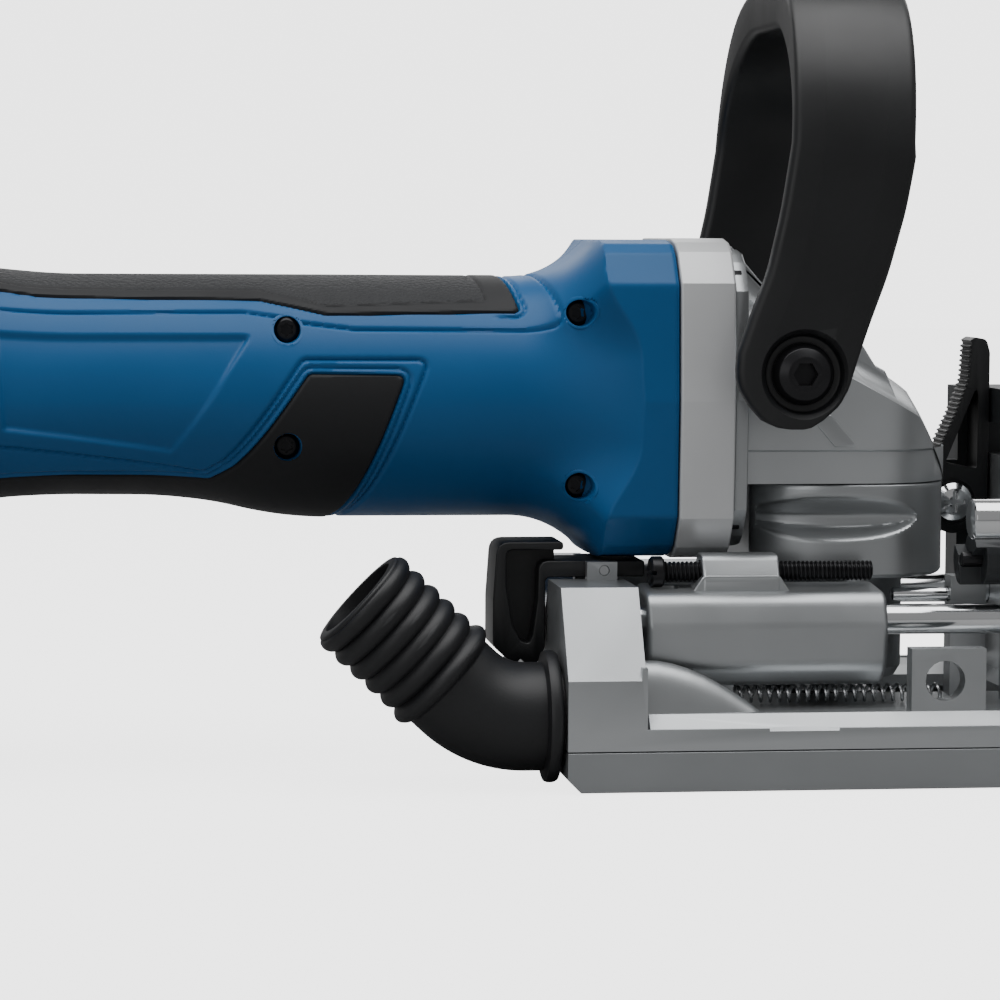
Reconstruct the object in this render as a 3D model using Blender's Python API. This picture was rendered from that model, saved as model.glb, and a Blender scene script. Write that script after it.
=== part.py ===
"""Cordless biscuit joiner, modelled as separate pieces.

Frame: +X towards the fence, +Z up, -Y is the tool's right side.
The origin is on the sole of the base, under the blade spindle with the slide at rest.
Sizes are in millimetres and become metres when a mesh is made.
"""

import math

import bmesh
import bpy
from mathutils import Vector

MM = 0.001
GAP = 0.3            # clearance between neighbouring pieces

# Driving dimensions
MOTOR_Z = 86.4       # height of the motor's axis
GRIP_RADIUS = 28.1
GRIP_REAR_X = -212.0
HOUSING_REAR_X = -238.0
COLLAR_X = -44.3     # front of the housing's collar
FLANGE_X = (-44.0, -31.3)
HEAD_HALF = 37.1     # half width and half height of the flange
WALL = 2.6
BLADE_RADIUS = 52.5
BLADE_Z = 10.0
BASE_HALF = 58.0
BASE_X = (-72.6, 54.7)
COVER_TOP = 9.0
PLATE_TOP = 16.8
ROD_Y = 36.0
ROD_Z = 36.2
ROD_RADIUS = 3.5
STOP_Z = 47.5        # height of the depth screw
SEAM_Z = 66.9        # joint between the two gear castings
HANDLE_SCREW = (-18.1, 93.1)
HOUSING_SCREWS = {"rear": (-132.9, 102.2, 75.6), "front": (-66.0, 106.3, 66.6)}  # X, upper Z, lower Z
HINGE = (66.0, 25.0)           # fence hinge, X and Z
LEVER_PIVOT = (37.3, 58.2)     # clamp lever, X and Z
LOCK_PIVOT = (-60.0, 47.0)     # rear lock lever, X and Z
LOCK_Y = (-23.6, -8.0)         # faces of the rear lock lever
TURRET = (36.0, 50.0)          # depth turret, distance from the middle and Z
PORT = (-43.0, 15.5)           # dust port, Y and Z
LEVER_Y = (33.2, 43.1)         # faces of the clamp lever
CLAMP_BOLT = (-50.2, 60.3)     # Y and Z


# ---------------------------------------------------------------- materials

def material(name, colour, roughness, metallic=0.0):
    made = bpy.data.materials.new(name)
    made.use_nodes = True
    shader = made.node_tree.nodes["Principled BSDF"]
    shader.inputs["Base Color"].default_value = (*colour, 1.0)
    shader.inputs["Roughness"].default_value = roughness
    shader.inputs["Metallic"].default_value = metallic
    return made


# ---------------------------------------------------------------- mesh tools

def finish(name, shape, look):
    """Turn a bmesh in millimetres into an object in metres."""
    bmesh.ops.scale(shape, vec=(MM, MM, MM), verts=shape.verts)
    bmesh.ops.recalc_face_normals(shape, faces=shape.faces)
    mesh = bpy.data.meshes.new(name)
    shape.to_mesh(mesh)
    shape.free()
    mesh.shade_smooth()
    mesh.set_sharp_from_angle(angle=math.radians(32))
    made = bpy.data.objects.new(name, mesh)
    made.data.materials.append(look)
    bpy.context.scene.collection.objects.link(made)
    return made


def along(axis, a, b, t):
    """The point with t along the named axis and (a, b) across it, in X, Y, Z order."""
    return {"X": Vector((t, a, b)), "Y": Vector((a, t, b)), "Z": Vector((a, b, t))}[axis]


def loft(name, rings, look):
    """Skin a list of rings with the same number of points and cap both ends."""
    shape = bmesh.new()
    rows = [[shape.verts.new(point) for point in ring] for ring in rings]
    count = len(rows[0])
    for near, far in zip(rows, rows[1:]):
        for i in range(count):
            j = (i + 1) % count
            shape.faces.new((near[i], near[j], far[j], far[i]))
    shape.faces.new(rows[0])
    shape.faces.new(rows[-1])
    return finish(name, shape, look)


def prism(name, outline, axis, low, high, look):
    """Extrude an outline along an axis from low to high."""
    rings = [[along(axis, a, b, t) for a, b in outline] for t in (low, high)]
    return loft(name, rings, look)


def block(name, low, high, look):
    outline = [(low[0], low[1]), (high[0], low[1]), (high[0], high[1]), (low[0], high[1])]
    return prism(name, outline, "Z", low[2], high[2], look)


def circle(centre, radius, count=24):
    turn = math.tau / count
    return [
        (centre[0] + radius * math.cos(i * turn), centre[1] + radius * math.sin(i * turn))
        for i in range(count)
    ]


def rod(name, centre, radius, axis, low, high, look, count=20):
    return prism(name, circle(centre, radius, count), axis, low, high, look)


def turned(name, centre, profile, axis, look, count=24):
    """Stack circles of (position, radius) along an axis."""
    rings = [[along(axis, a, b, t) for a, b in circle(centre, radius, count)] for t, radius in profile]
    return loft(name, rings, look)


def ring_outline(half_a, half_b, centre, power, count=32):
    """A superellipse: round at power 2, squarer as the power rises."""
    points = []
    for i in range(count):
        angle = math.tau * (i + 0.5) / count
        c, s = math.cos(angle), math.sin(angle)
        a = half_a * math.copysign(abs(c) ** (2 / power), c)
        b = half_b * math.copysign(abs(s) ** (2 / power), s)
        points.append((centre[0] + a, centre[1] + b))
    return points


def sector(name, centre, radii, degrees, low, high, look, steps=12):
    """Part of a tube about an X axis, from one angle to another."""
    angles = [math.radians(degrees[0] + (degrees[1] - degrees[0]) * i / steps) for i in range(steps + 1)]
    outer = [(centre[0] + radii[1] * math.cos(a), centre[1] + radii[1] * math.sin(a)) for a in angles]
    inner = [(centre[0] + radii[0] * math.cos(a), centre[1] + radii[0] * math.sin(a)) for a in angles]
    return prism(name, outer + inner[::-1], "X", low, high, look)


def combine(target, tools, operation):
    """Join tools to the target or cut them from it, one after another."""
    for tool in tools:
        change = target.modifiers.new("combine", "BOOLEAN")
        change.operation = operation
        change.solver = "EXACT"
        change.object = tool
        graph = bpy.context.evaluated_depsgraph_get()
        mesh = bpy.data.meshes.new_from_object(target.evaluated_get(graph))
        target.modifiers.clear()
        target.data = mesh
        bpy.data.objects.remove(tool)
    target.data.shade_smooth()
    target.data.set_sharp_from_angle(angle=math.radians(32))
    return target


def join(target, *tools):
    return combine(target, tools, "UNION")


def cut(target, *tools):
    return combine(target, tools, "DIFFERENCE")


def pivot(obj, x, y, z):
    """Move an object's origin to a point in millimetres without moving its shape."""
    point = Vector((x, y, z)) * MM
    for vertex in obj.data.vertices:
        vertex.co -= point
    obj.location = point
    return obj


# ---------------------------------------------------------------- base

def blade_room(low, high, radius, look):
    """The space that the blade sweeps as the unit slides, open at the front."""
    count = 28
    rear = [
        (radius * math.cos(a), radius * math.sin(a))
        for a in (math.pi / 2 + math.pi * i / count for i in range(count + 1))
    ]
    return prism("room", rear + [(BASE_X[1] + 9, -radius), (BASE_X[1] + 9, radius)], "Z", low, high, look)


def base_casting(look):
    rear, front = BASE_X
    seam = COVER_TOP + GAP
    side = [(-BASE_HALF, seam), (BASE_HALF, seam), (BASE_HALF, 13.5), (BASE_HALF - 4, PLATE_TOP),
            (4 - BASE_HALF, PLATE_TOP), (-BASE_HALF, 13.5)]
    casting = prism("base_casting", side, "X", rear, front, look)
    rear_block = [(-BASE_HALF, seam + 1), (BASE_HALF, seam + 1), (BASE_HALF, 25.1), (45, 44.8), (24, 44.8),
                  (20, 38), (-20, 38), (-24, 44.8), (-45, 44.8), (-BASE_HALF, 25.1)]
    join(casting, prism("rear", rear_block, "X", rear, -55.0, look))
    join(casting, block("plate", (47.0, -43.0, seam + 1), (front, 43.0, 70.0), look))
    gusset = [(-11, 13), (front, 13), (front, 38.0), (-11, 14.6)]
    duct = [(-56, 12), (-56, 28), (-46, 27), (-38, 24), (-32, 20.5), (-27, 16), (-27, 12)]
    for side_sign in (-1, 1):
        low, high = sorted((side_sign * 55.3, side_sign * BASE_HALF))
        join(casting, prism("gusset", gusset, "Y", low, high, look))
    join(casting, prism("duct", duct, "Y", -BASE_HALF, -48.5, look))
    join(
        casting,
        block("rib", (6.2, -54.5, 14.0), (23.4, -49.5, 31.3), look),
        block("turret_post", (32.6, -41.0, 14.0), (40.0, -31.0, 55.0), look),
        block("stop_post", (22.5, -24.5, 14.0), (31.0, -18.5, 45.0), look),
    )
    lug, lug_gap = 3.2, 0.4
    for low in (LOCK_Y[0] - lug_gap - lug, LOCK_Y[1] + lug_gap):
        high = low + lug
        join(casting, block("lug", (-64.0, low, 36.0), (-57.0, high, 49.0), look))
    cut(casting, blade_room(0.0, 14.0, BLADE_RADIUS + 1.5, look))
    cut(
        casting,
        block("spindle_slot", (-17.0, -17.0, 8.0), (39.0, 17.0, 20.0), look),
        rod("port", PORT, 11.6, "X", rear - 5, -58.0, look),
        block("duct_room", (-60.0, -53.0, 2.0), (-20.0, -33.0, 13.9), look),
        rod("lever_pin_hole", LOCK_PIVOT, 1.25, "Y", -40.0, 0.0, look, 12),
        rod("turret_hole", (-TURRET[0], TURRET[1]), 2.1, "X", 30.0, 45.0, look, 12),
        rod("post_rod_hole", (-ROD_Y, ROD_Z), ROD_RADIUS + GAP, "X", 30.0, 45.0, look),
        rod("stop_hole", (-21.5, 40.5), 1.9, "X", 20.0, 27.0, look, 12),
        rod("rib_hole", (14.0, 24.0), 4.6, "Y", -58.0, -47.0, look),
    )
    for y in (-ROD_Y, ROD_Y):
        cut(
            casting,
            rod("rear_rod_hole", (y, ROD_Z), ROD_RADIUS + GAP, "X", -65.0, -50.0, look),
            rod("front_rod_hole", (y, ROD_Z), ROD_RADIUS + GAP, "X", 40.0, 52.0, look),
        )
    for y in (-54.0, 54.0):
        cut(casting, block("pad_pocket", (front - 1.2, y - 2.3, 9.8), (front + 2, y + 2.3, 16.2), look))
    return casting


def bottom_cover(look):
    rear, front = BASE_X
    side = [(rear, 3.0), (rear + 3.0, 0.0), (front - 1.5, 0.0), (front, 1.5), (front, COVER_TOP),
            (rear, COVER_TOP)]
    cover = prism("bottom_cover", side, "Y", -BASE_HALF, BASE_HALF, look)
    return cut(
        cover,
        blade_room(6.0, 14.0, BLADE_RADIUS + 1.5, look),
        block("nut_slot", (-13.0, -13.0, 2.5), (34.0, 13.0, 7.0), look),
        rod("port", PORT, 11.6, "X", rear - 5, -58.0, look),
        block("duct_room", (-60.0, -53.0, 5.0), (-20.0, -33.0, 13.9), look),
    )


def base_fittings(looks):
    for side, y in (("right", -ROD_Y), ("left", ROD_Y)):
        rod(f"guide_rod_{side}", (y, ROD_Z), ROD_RADIUS, "X", -64.7, 51.7, looks["chrome"])
        pad_y = math.copysign(54.0, y)
        block(f"anti_slip_pad_{side}", (BASE_X[1] - 0.9, pad_y - 2.0, 10.1),
              (BASE_X[1] + 0.8, pad_y + 2.0, 15.9), looks["rubber"])
    turned("stop_pin", (-21.5, 40.5), [(8.7, 1.1), (9.2, 1.6), (26.7, 1.6)], "X", looks["chrome"], 12)
    rod("lock_lever_pin", LOCK_PIVOT, 1.15, "Y", LOCK_Y[0] - 3.3, LOCK_Y[1] + 3.3, looks["steel"], 12)
    turned("turret_screw", (-TURRET[0], TURRET[1]),
           [(22.0, 1.6), (40.3, 1.6), (40.31, 3.6), (42.5, 3.6)], "X", looks["black_steel"], 12)


def depth_turret(look):
    """A drum with three steps, which the depth screw meets one at a time."""
    x, y, z = 21.6, -TURRET[0], TURRET[1]
    drum = rod("depth_turret", (y, z), 6.0, "X", x, 32.3, look, 24)
    reach = 12.0
    for i, step in enumerate((2.5, 5.0)):
        angles = [math.radians(30 + 120 * i + 30 * k) for k in range(5)]
        wedge = [(0, 0)] + [(reach * math.cos(angle), reach * math.sin(angle)) for angle in angles]
        cut(drum, prism("step", [(y + a, z + b) for a, b in wedge], "X", x - 5, x + step, look))
    cut(drum, rod("axle_hole", (y, z), 1.75, "X", x - 5, 40.0, look, 12))
    return pivot(drum, x, y, z)


def return_spring(name, y, look):
    """A coil lying under the sleeve, between a lug of the sleeve and the front of the base."""
    turns, radius, wire = 9, 1.75, 0.42
    start, end, z = -31.0, 18.0, 19.2
    per_turn = 8
    rings = []
    for i in range(turns * per_turn + 1):
        angle = math.tau * i / per_turn
        x = start + (end - start) * i / (turns * per_turn)
        out = Vector((0, math.cos(angle), math.sin(angle)))
        centre = Vector((x, y, z)) + out * radius
        rings.append([centre + wire * (out * math.cos(k * math.tau / 4) + Vector((1, 0, 0)) *
                                       math.sin(k * math.tau / 4)) for k in range(4)])
    return loft(name, rings, look)


def rear_lock_lever(look):
    """One strip: an arm to the pivot, then a deep U behind the base that turns over at the top."""
    outside = [(-84.5, 53.2), (-85.5, 50.0), (-85.6, 29.6), (-82.4, 26.3), (-79.6, 25.2), (-74.8, 25.2),
               (-73.2, 29.0), (-73.2, 45.2), (-50.0, 45.2)]
    inside = [(-50.0, 49.0), (-73.6, 49.0), (-74.8, 47.5), (-75.0, 40.0), (-76.2, 31.6), (-78.8, 30.4),
              (-80.8, 34.0), (-82.2, 43.0), (-82.3, 51.5), (-70.0, 51.5), (-70.0, 53.2)]
    body = prism("rear_lock_lever", inside + outside, "Y", *LOCK_Y, look)
    web = [(-70.5, 53.0), (-84.3, 53.0), (-85.2, 50.0), (-85.3, 29.8), (-82.2, 26.5), (-79.6, 25.4),
           (-75.0, 25.4), (-73.4, 29.2), (-73.4, 46.0), (-70.5, 48.8)]
    join(body, prism("web", web, "Y", LOCK_Y[1] - 2.4, LOCK_Y[1] - 0.2, look))
    join(body, rod("barrel", LOCK_PIVOT, 1.9, "Y", *LOCK_Y, look, 16))
    cut(body, rod("bore", LOCK_PIVOT, 1.35, "Y", -40.0, 0.0, look, 12))
    return pivot(body, LOCK_PIVOT[0], 0, LOCK_PIVOT[1])


def dust_elbow(look):
    """A bent tube with a ribbed mouth, hollow from end to end."""
    port_y, port_z = PORT
    bend_end = Vector((-98.9, port_y, 24.8))
    mouth = Vector((-119.5, port_y, 46.5))
    path = [(Vector((-59.5, port_y, port_z)), 11.2), (Vector((-73.0, port_y, port_z)), 11.2)]
    path += [(Vector((-73.01, port_y, port_z)), 15.0), (Vector((-76.6, port_y, port_z)), 15.0)]
    path += [(Vector((-76.61, port_y, port_z)), 12.2), (Vector((-84.0, port_y, 15.9)), 12.2)]
    path += [(Vector((-92.0, port_y, 18.8)), 12.4), (bend_end, 12.6)]
    ribs = 5
    for i in range(ribs):
        for part, radius in ((0.08, 14.6), (0.55, 14.6), (0.62, 12.2), (0.98, 12.2)):
            path.append((bend_end.lerp(mouth, (i + part) / ribs), radius))
    path.append((mouth, 13.0))
    directions = []
    for i, (point, _) in enumerate(path):
        before = path[max(i - 2, 0)][0]
        after = path[min(i + 2, len(path) - 1)][0]
        directions.append((after - before).normalized())
    sideways = Vector((0, 1, 0))

    def hoop(point, direction, radius, count=16):
        up = direction.cross(sideways)
        angles = [k * math.tau / count for k in range(count)]
        return [point + radius * (sideways * math.cos(angle) + up * math.sin(angle)) for angle in angles]

    body = loft("dust_elbow", [hoop(p, d, r) for (p, r), d in zip(path, directions)], look)
    keep = [0, 1, 4, 6, 7, 11, 19, 27]
    bore = [hoop(path[i][0], directions[i], 9.6) for i in keep]
    lead_in = hoop(path[0][0] + Vector((6, 0, 0)), directions[0], 9.6)
    lead_out = hoop(mouth + directions[-1] * 6, directions[-1], 10.6)
    return pivot(cut(body, loft("bore", [lead_in] + bore + [lead_out], look)), -73.0, port_y, port_z)


# ---------------------------------------------------------------- fence

def fence_carrier(look):
    """A portal that slides up and down around the front plate of the base."""
    inner, outer = 43.4, 54.7
    body = block("fence_carrier", (47.0, -outer, 78.0), (60.0, outer, 86.6), look)
    for sign in (-1, 1):
        low, high = sorted((sign * inner, sign * outer))
        join(body, block("cheek", (41.0, low, 19.0), (60.0, high, 86.6), look))
    join(body, block("bar", (55.8, -outer, 19.0), (60.0, outer, 31.0), look))
    for sign in (-1, 1):
        low, high = sorted((sign * 46.0, sign * 52.0))
        join(body, block("ear", (58.0, low, 19.0), (70.0, high, 31.0), look))
    join(body, block("lever_ear", (31.0, LEVER_Y[1] + 0.4, 50.0), (45.0, 47.0, 68.0), look))
    return cut(
        body,
        rod("hinge_hole", HINGE, 2.2, "Y", -60.0, 60.0, look, 16),
        rod("lever_hole", LEVER_PIVOT, 2.8, "Y", 38.0, 60.0, look, 16),
        rod("bolt_hole", CLAMP_BOLT, 3.6, "X", 38.0, 64.0, look, 16),
    )


def fence_plate(look):
    hinge_x, hinge_z = HINGE
    plate = block("fence_plate", (74.0, -55.0, 19.0), (112.0, 55.0, 24.0), look)
    join(plate, block("tongue", (61.2, -45.6, 19.0), (75.0, 45.6, 24.0), look))
    join(plate, rod("knuckle", HINGE, 4.0, "Y", -45.6, 45.6, look, 20))
    for y in (-40.0, 0.0, 40.0):
        join(plate, block("stiffener", (68.0, y - 2, 23.0), (108.0, y + 2, 27.0), look))
    cut(plate, rod("bore", HINGE, 2.2, "Y", -60.0, 60.0, look, 16))
    cut(plate, block("sight_notch", (100.0, -7.0, 15.0), (120.0, 7.0, 30.0), look))
    return pivot(plate, hinge_x, 0, hinge_z)


def clamp_lever(look):
    """A thumb lever with a ridged rear edge on a round hub."""
    x, z = LEVER_PIVOT
    front = [(41.2, 98.4), (42.6, 99.2), (45.0, 98.6), (46.4, 95.9), (46.2, 58.5)]
    hub = [(44.5, 53.0), (41.0, 50.6), (37.3, 49.8), (33.0, 51.0), (29.9, 54.5), (28.9, 58.5), (29.5, 62.5),
           (31.8, 67.0), (32.5, 69.6)]
    rear = [(34.2, 73.3), (37.3, 80.0), (40.4, 88.0), (41.2, 97.5)]
    ridges = []
    count, depth = 4, 0.7
    for start, end in zip(rear, rear[1:]):
        for i in range(count):
            step = depth if i % 2 else 0.0
            ridges.append((start[0] + (end[0] - start[0]) * i / count + step,
                           start[1] + (end[1] - start[1]) * i / count))
    lever = prism("clamp_lever", front + hub + ridges + rear[-1:], "Y", *LEVER_Y, look)
    window = [(42.9, 86.3), (35.1, 67.8), (43.4, 66.2)]
    cut(lever, prism("window", window, "Y", 25.0, 50.0, look))
    cut(lever, rod("bore", LEVER_PIVOT, 2.8, "Y", 25.0, 50.0, look, 16))
    return pivot(lever, x, LEVER_Y[0], z)


def fence_fittings(looks):
    rod("fence_hinge_pin", HINGE, 2.0, "Y", -52.5, 54.7, looks["steel"], 16)
    face = LEVER_Y[0] - 0.4
    turned("clamp_screw", LEVER_PIVOT,
           [(face - 2.4, 3.4), (face - 1.7, 4.8), (face, 4.9), (face + 0.01, 2.5), (46.8, 2.5)], "Y",
           looks["chrome"], 20)
    turned("clamp_bolt", CLAMP_BOLT,
           [(16.8, 2.6), (20.3, 2.6), (20.31, 4.6), (40.7, 4.6), (40.71, 3.2), (60.3, 3.2), (60.31, 5.0),
            (64.5, 5.0)], "X", looks["chrome"], 18)
    knob = turned("angle_lock_knob", HINGE, [(55.0, 7.0), (61.0, 7.0), (62.0, 6.0)], "Y", looks["black"], 20)
    join(knob, block("wing", (63.8, 55.5, 28.0), (68.2, 61.0, 44.0), looks["black"]))
    pivot(knob, HINGE[0], 55.0, HINGE[1])


# ---------------------------------------------------------------- housing

def housing_rings(shrink, rear, front):
    """Sections of the motor housing: battery foot, round grip and squared collar."""
    sections = [
        (HOUSING_REAR_X, 37.0, 52.0, 5.0), (-226.0, 36.0, 46.0, 4.5), (-219.0, 31.5, 34.0, 3.0),
        (GRIP_REAR_X, 28.6, 28.6, 2.0), (-80.0, 28.1, 28.1, 2.0), (-74.0, 28.8, 28.8, 2.1),
        (-67.5, 31.8, 31.8, 2.6), (-63.0, 35.0, 35.4, 3.2), (-59.0, 36.3, 36.6, 4.0),
        (-52.0, 36.5, 36.8, 5.0), (COLLAR_X, 36.5, 36.8, 5.0),
    ]
    rings = []
    for x, half_y, half_z, power in sections:
        place = min(max(x, rear), front)
        outline = ring_outline(half_y - shrink, half_z - shrink, (0.0, MOTOR_Z), power, 28)
        rings.append([along("X", y, z, place) for y, z in outline])
    return rings


def housing(looks):
    centre = (0.0, MOTOR_Z)
    blue = looks["blue"]
    shell = loft("housing_right", housing_rings(0.0, HOUSING_REAR_X, COLLAR_X), blue)
    cut(shell, loft("inside", housing_rings(WALL + 1.6, HOUSING_REAR_X + 3.0, COLLAR_X + 5.0), blue))
    cut(
        shell,
        sector("top_recess", centre, (26.0, 45.0), (42.0, 138.0), GRIP_REAR_X, -76.5, blue),
        sector("low_recess", centre, (26.0, 45.0), (242.5, 297.5), GRIP_REAR_X, -117.5, blue),
        sector("pad_recess", centre, (26.0, 45.0), (167.0, 373.0), -143.5, -121.5, blue, 20),
        block("terminal_gap", (-245.0, -14.3, 61.7), (-230.0, 14.3, 110.3), blue),
        block("switch_gap", (-101.0, 20.0, 83.7), (-82.0, 40.0, 88.9), blue),
    )
    shell.data.name = "shell"
    left = bpy.data.objects.new("housing_left", shell.data.copy())
    bpy.context.scene.collection.objects.link(left)
    half = 0.15
    cut(shell, block("left_half", (-300.0, -half, 0.0), (0.0, 90.0, 180.0), blue))
    cut(left, block("right_half", (-300.0, -90.0, 0.0), (0.0, half, 180.0), blue))
    for place, head in (("rear", -21.2), ("front", -24.0)):
        x, *heights = HOUSING_SCREWS[place]
        for level, z in zip(("upper", "lower"), heights):
            at = (x, z)
            cut(shell, rod("head_hole", at, 3.4, "Y", -60.0, head + 1.1, blue, 16))
            cut(shell, rod("shank_hole", at, 1.9, "Y", -60.0, -5.0, blue, 12))
            turned(f"housing_screw_{place}_{level}", at,
                   [(head - 0.8, 2.7), (head + 0.8, 2.8), (head + 0.81, 1.6), (head + 2.2, 1.6)], "Y",
                   looks["black_steel"], 12)


def grips(look):
    centre = (0.0, MOTOR_Z)
    radii = (26.4, GRIP_RADIUS + 0.2)
    rear = GRIP_REAR_X + 0.4
    sector("top_soft_grip", centre, radii, (43.0, 137.0), rear, -77.0, look, 14)
    band = sector("lower_soft_grip", centre, radii, (243.5, 296.5), rear, -118.0, look, 8)
    join(band, sector("wrap", centre, radii, (168.0, 372.0), -143.0, -122.0, look, 24))
    x, _, z = HOUSING_SCREWS["rear"]
    cut(band, rod("screw_hole", (x, z), 3.4, "Y", -60.0, -10.0, look, 16))


def flange_outline(half, chamfer):
    """An octagon with slightly peaked sides, in Y and Z."""
    flat = half - chamfer
    corners = [(half, 0.0), (half - 0.8, flat), (flat, half)]
    upper = corners + [(-y, z) for y, z in reversed(corners)]
    lower = [(y, -z) for y, z in reversed(upper) if abs(z) > 0.01]
    return [(y, MOTOR_Z + z) for y, z in upper + lower]


def gear_flange(look):
    flange = prism("gear_flange", flange_outline(HEAD_HALF, 10.0), "X", *FLANGE_X, look)
    return cut(
        flange,
        rod("bearing_seat", (0.0, MOTOR_Z), 11.2, "X", -60.0, -37.0, look),
        rod("shaft_hole", (0.0, MOTOR_Z), 8.5, "X", -60.0, -20.0, look),
    )


# ---------------------------------------------------------------- gear head

def gear_casting_upper(look):
    outline = [(-31.0, 68.0), (-31.0, 122.0), (-28.0, 122.0), (-19.0, 110.7), (6.3, 98.3), (9.4, 93.3),
               (15.6, 85.0), (22.0, 81.9), (22.9, 78.5), (24.4, SEAM_Z + 0.15), (-31.0, SEAM_Z + 0.15)]
    casting = prism("gear_casting_upper", outline, "Y", -30.0, 30.0, look)
    plate = [(y * 0.94, (z - MOTOR_Z) * 0.94 + MOTOR_Z) for y, z in flange_outline(HEAD_HALF, 10.0)]
    join(casting, prism("rear_plate", plate, "X", -31.0, -26.5, look))
    join(casting, rod("boss", HANDLE_SCREW, 12.0, "Y", -43.6, 43.6, look, 28))
    room = [(-40.0, 60.0), (-40.0, 112.0), (-30.0, 112.0), (-22.0, 101.0), (-10.0, 96.0), (-10.0, 87.5),
            (12.0, 87.5), (17.0, 81.0), (19.5, 77.0), (20.2, 60.0)]
    cut(casting, prism("room", room, "Y", -22.0, 22.0, look))
    cut(
        casting,
        rod("bearing_seat", (0.0, 0.0), 8.4, "Z", 80.0, 93.6, look),
        rod("lock_bore", (6.0, 74.5), 4.3, "Y", 15.0, 40.0, look, 16),
        block("below", (-40.0, -40.0, 40.0), (-24.9, 40.0, SEAM_Z - 3.0), look),
    )
    for low, high in ((-50.0, -28.0), (28.0, 50.0)):
        cut(casting, rod("screw_hole", HANDLE_SCREW, 4.2, "Y", low, high, look, 16))
    return casting


def gear_casting_lower(look):
    outline = ring_outline(24.4, 30.0, (0.0, 0.0), 3.2, 32)
    casting = prism("gear_casting_lower", outline, "Z", 45.0, SEAM_Z - 0.15, look)
    join(casting, turned("boss", (0.0, 0.0), [(19.5, 15.5), (22.0, 17.0), (46.0, 17.0)], "Z", look, 28))
    room = ring_outline(20.0, 21.6, (0.0, 0.0), 2.6, 28)
    cut(
        casting,
        prism("room", room, "Z", 50.0, 70.0, look),
        rod("bearing_seat", (0.0, 0.0), 13.3, "Z", 24.0, 52.0, look, 24),
        rod("spindle_hole", (0.0, 0.0), 7.0, "Z", 10.0, 30.0, look),
    )
    for sign in (-1, 1):
        scoop = turned("scoop", (0.0, 56.5), [(sign * 27.2, 1.5), (sign * 30.6, 6.0)], "Y", look, 20)
        for vertex in scoop.data.vertices:
            vertex.co.x *= 3.2
        cut(casting, scoop)
    return casting


def slide_sleeve(side, sign, look):
    """A bearing sleeve that runs on a guide rod and carries the gear head."""
    y = sign * ROD_Y
    outline = [(y + sign * a, z) for a, z in (
        (11.0, 34.0), (10.2, 39.0), (7.0, 43.3), (-6.4, 43.3), (-6.4, 44.6), (-10.5, 44.6), (-10.8, 30.0),
        (-8.0, 23.5), (-4.0, 21.6), (5.0, 21.6), (9.4, 25.5))]
    sleeve = prism(f"slide_sleeve_{side}", outline, "X", -53.0, 2.6, look)
    low, high = sorted((y - sign * 5.4, y + sign * 4.9))
    if side == "right":
        join(sleeve, block("boss", (-39.3, low, 40.0), (-21.5, high, 51.7), look))
        cut(sleeve, rod("stop_screw_hole", (y, STOP_Z), 2.7, "X", -60.0, 10.0, look, 16))
        cut(sleeve, block("screw_channel", (-60.0, low, 43.3), (-39.31, high, 60.0), look))
    join(sleeve, block("lug", (-36.0, y - 3.0, 17.4), (-31.6, y + 3.0, 24.0), look))
    return cut(sleeve, rod("bore", (y, ROD_Z), ROD_RADIUS + 0.09, "X", -70.0, 20.0, look, 20))


def bevel_pair(look):
    """A 24-tooth gear on the spindle and an 8-tooth pinion, on cones that meet where the axes cross."""
    gear_teeth, pinion_teeth, clear = 24, 8, 0.15
    slope = pinion_teeth / gear_teeth

    def wave(count):
        """For each of four points a tooth: its angle, and 1 on the tip or 0 in the root."""
        return [(math.tau * (i + part) / count, high) for i in range(count)
                for part, high in ((0.0, 0), (0.12, 1), (0.42, 1), (0.54, 0))]

    points = wave(gear_teeth)
    rings = []
    for radius, height, depth in ((8.0, 66.0, 0.0), (17.0, 74.0, 0.0), (17.0, None, 1.3), (11.0, None, 0.8),
                                  (8.0, 80.0, 0.0)):
        level = MOTOR_Z - radius * slope - clear if height is None else height
        rings.append([Vector((radius * math.cos(a), radius * math.sin(a), level - depth * (1 - high)))
                      for a, high in points])
    loft("bevel_gear", rings, look)
    rings = []
    for x, depth in ((-19.8, 1.3), (-12.0, 0.8)):
        radius = -x * slope - clear
        rings.append([Vector((x, (radius - depth * (1 - high)) * math.cos(a),
                              MOTOR_Z + (radius - depth * (1 - high)) * math.sin(a)))
                      for a, high in wave(pinion_teeth)])
    pivot(loft("bevel_pinion", rings, look), -16, 0, MOTOR_Z)


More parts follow.
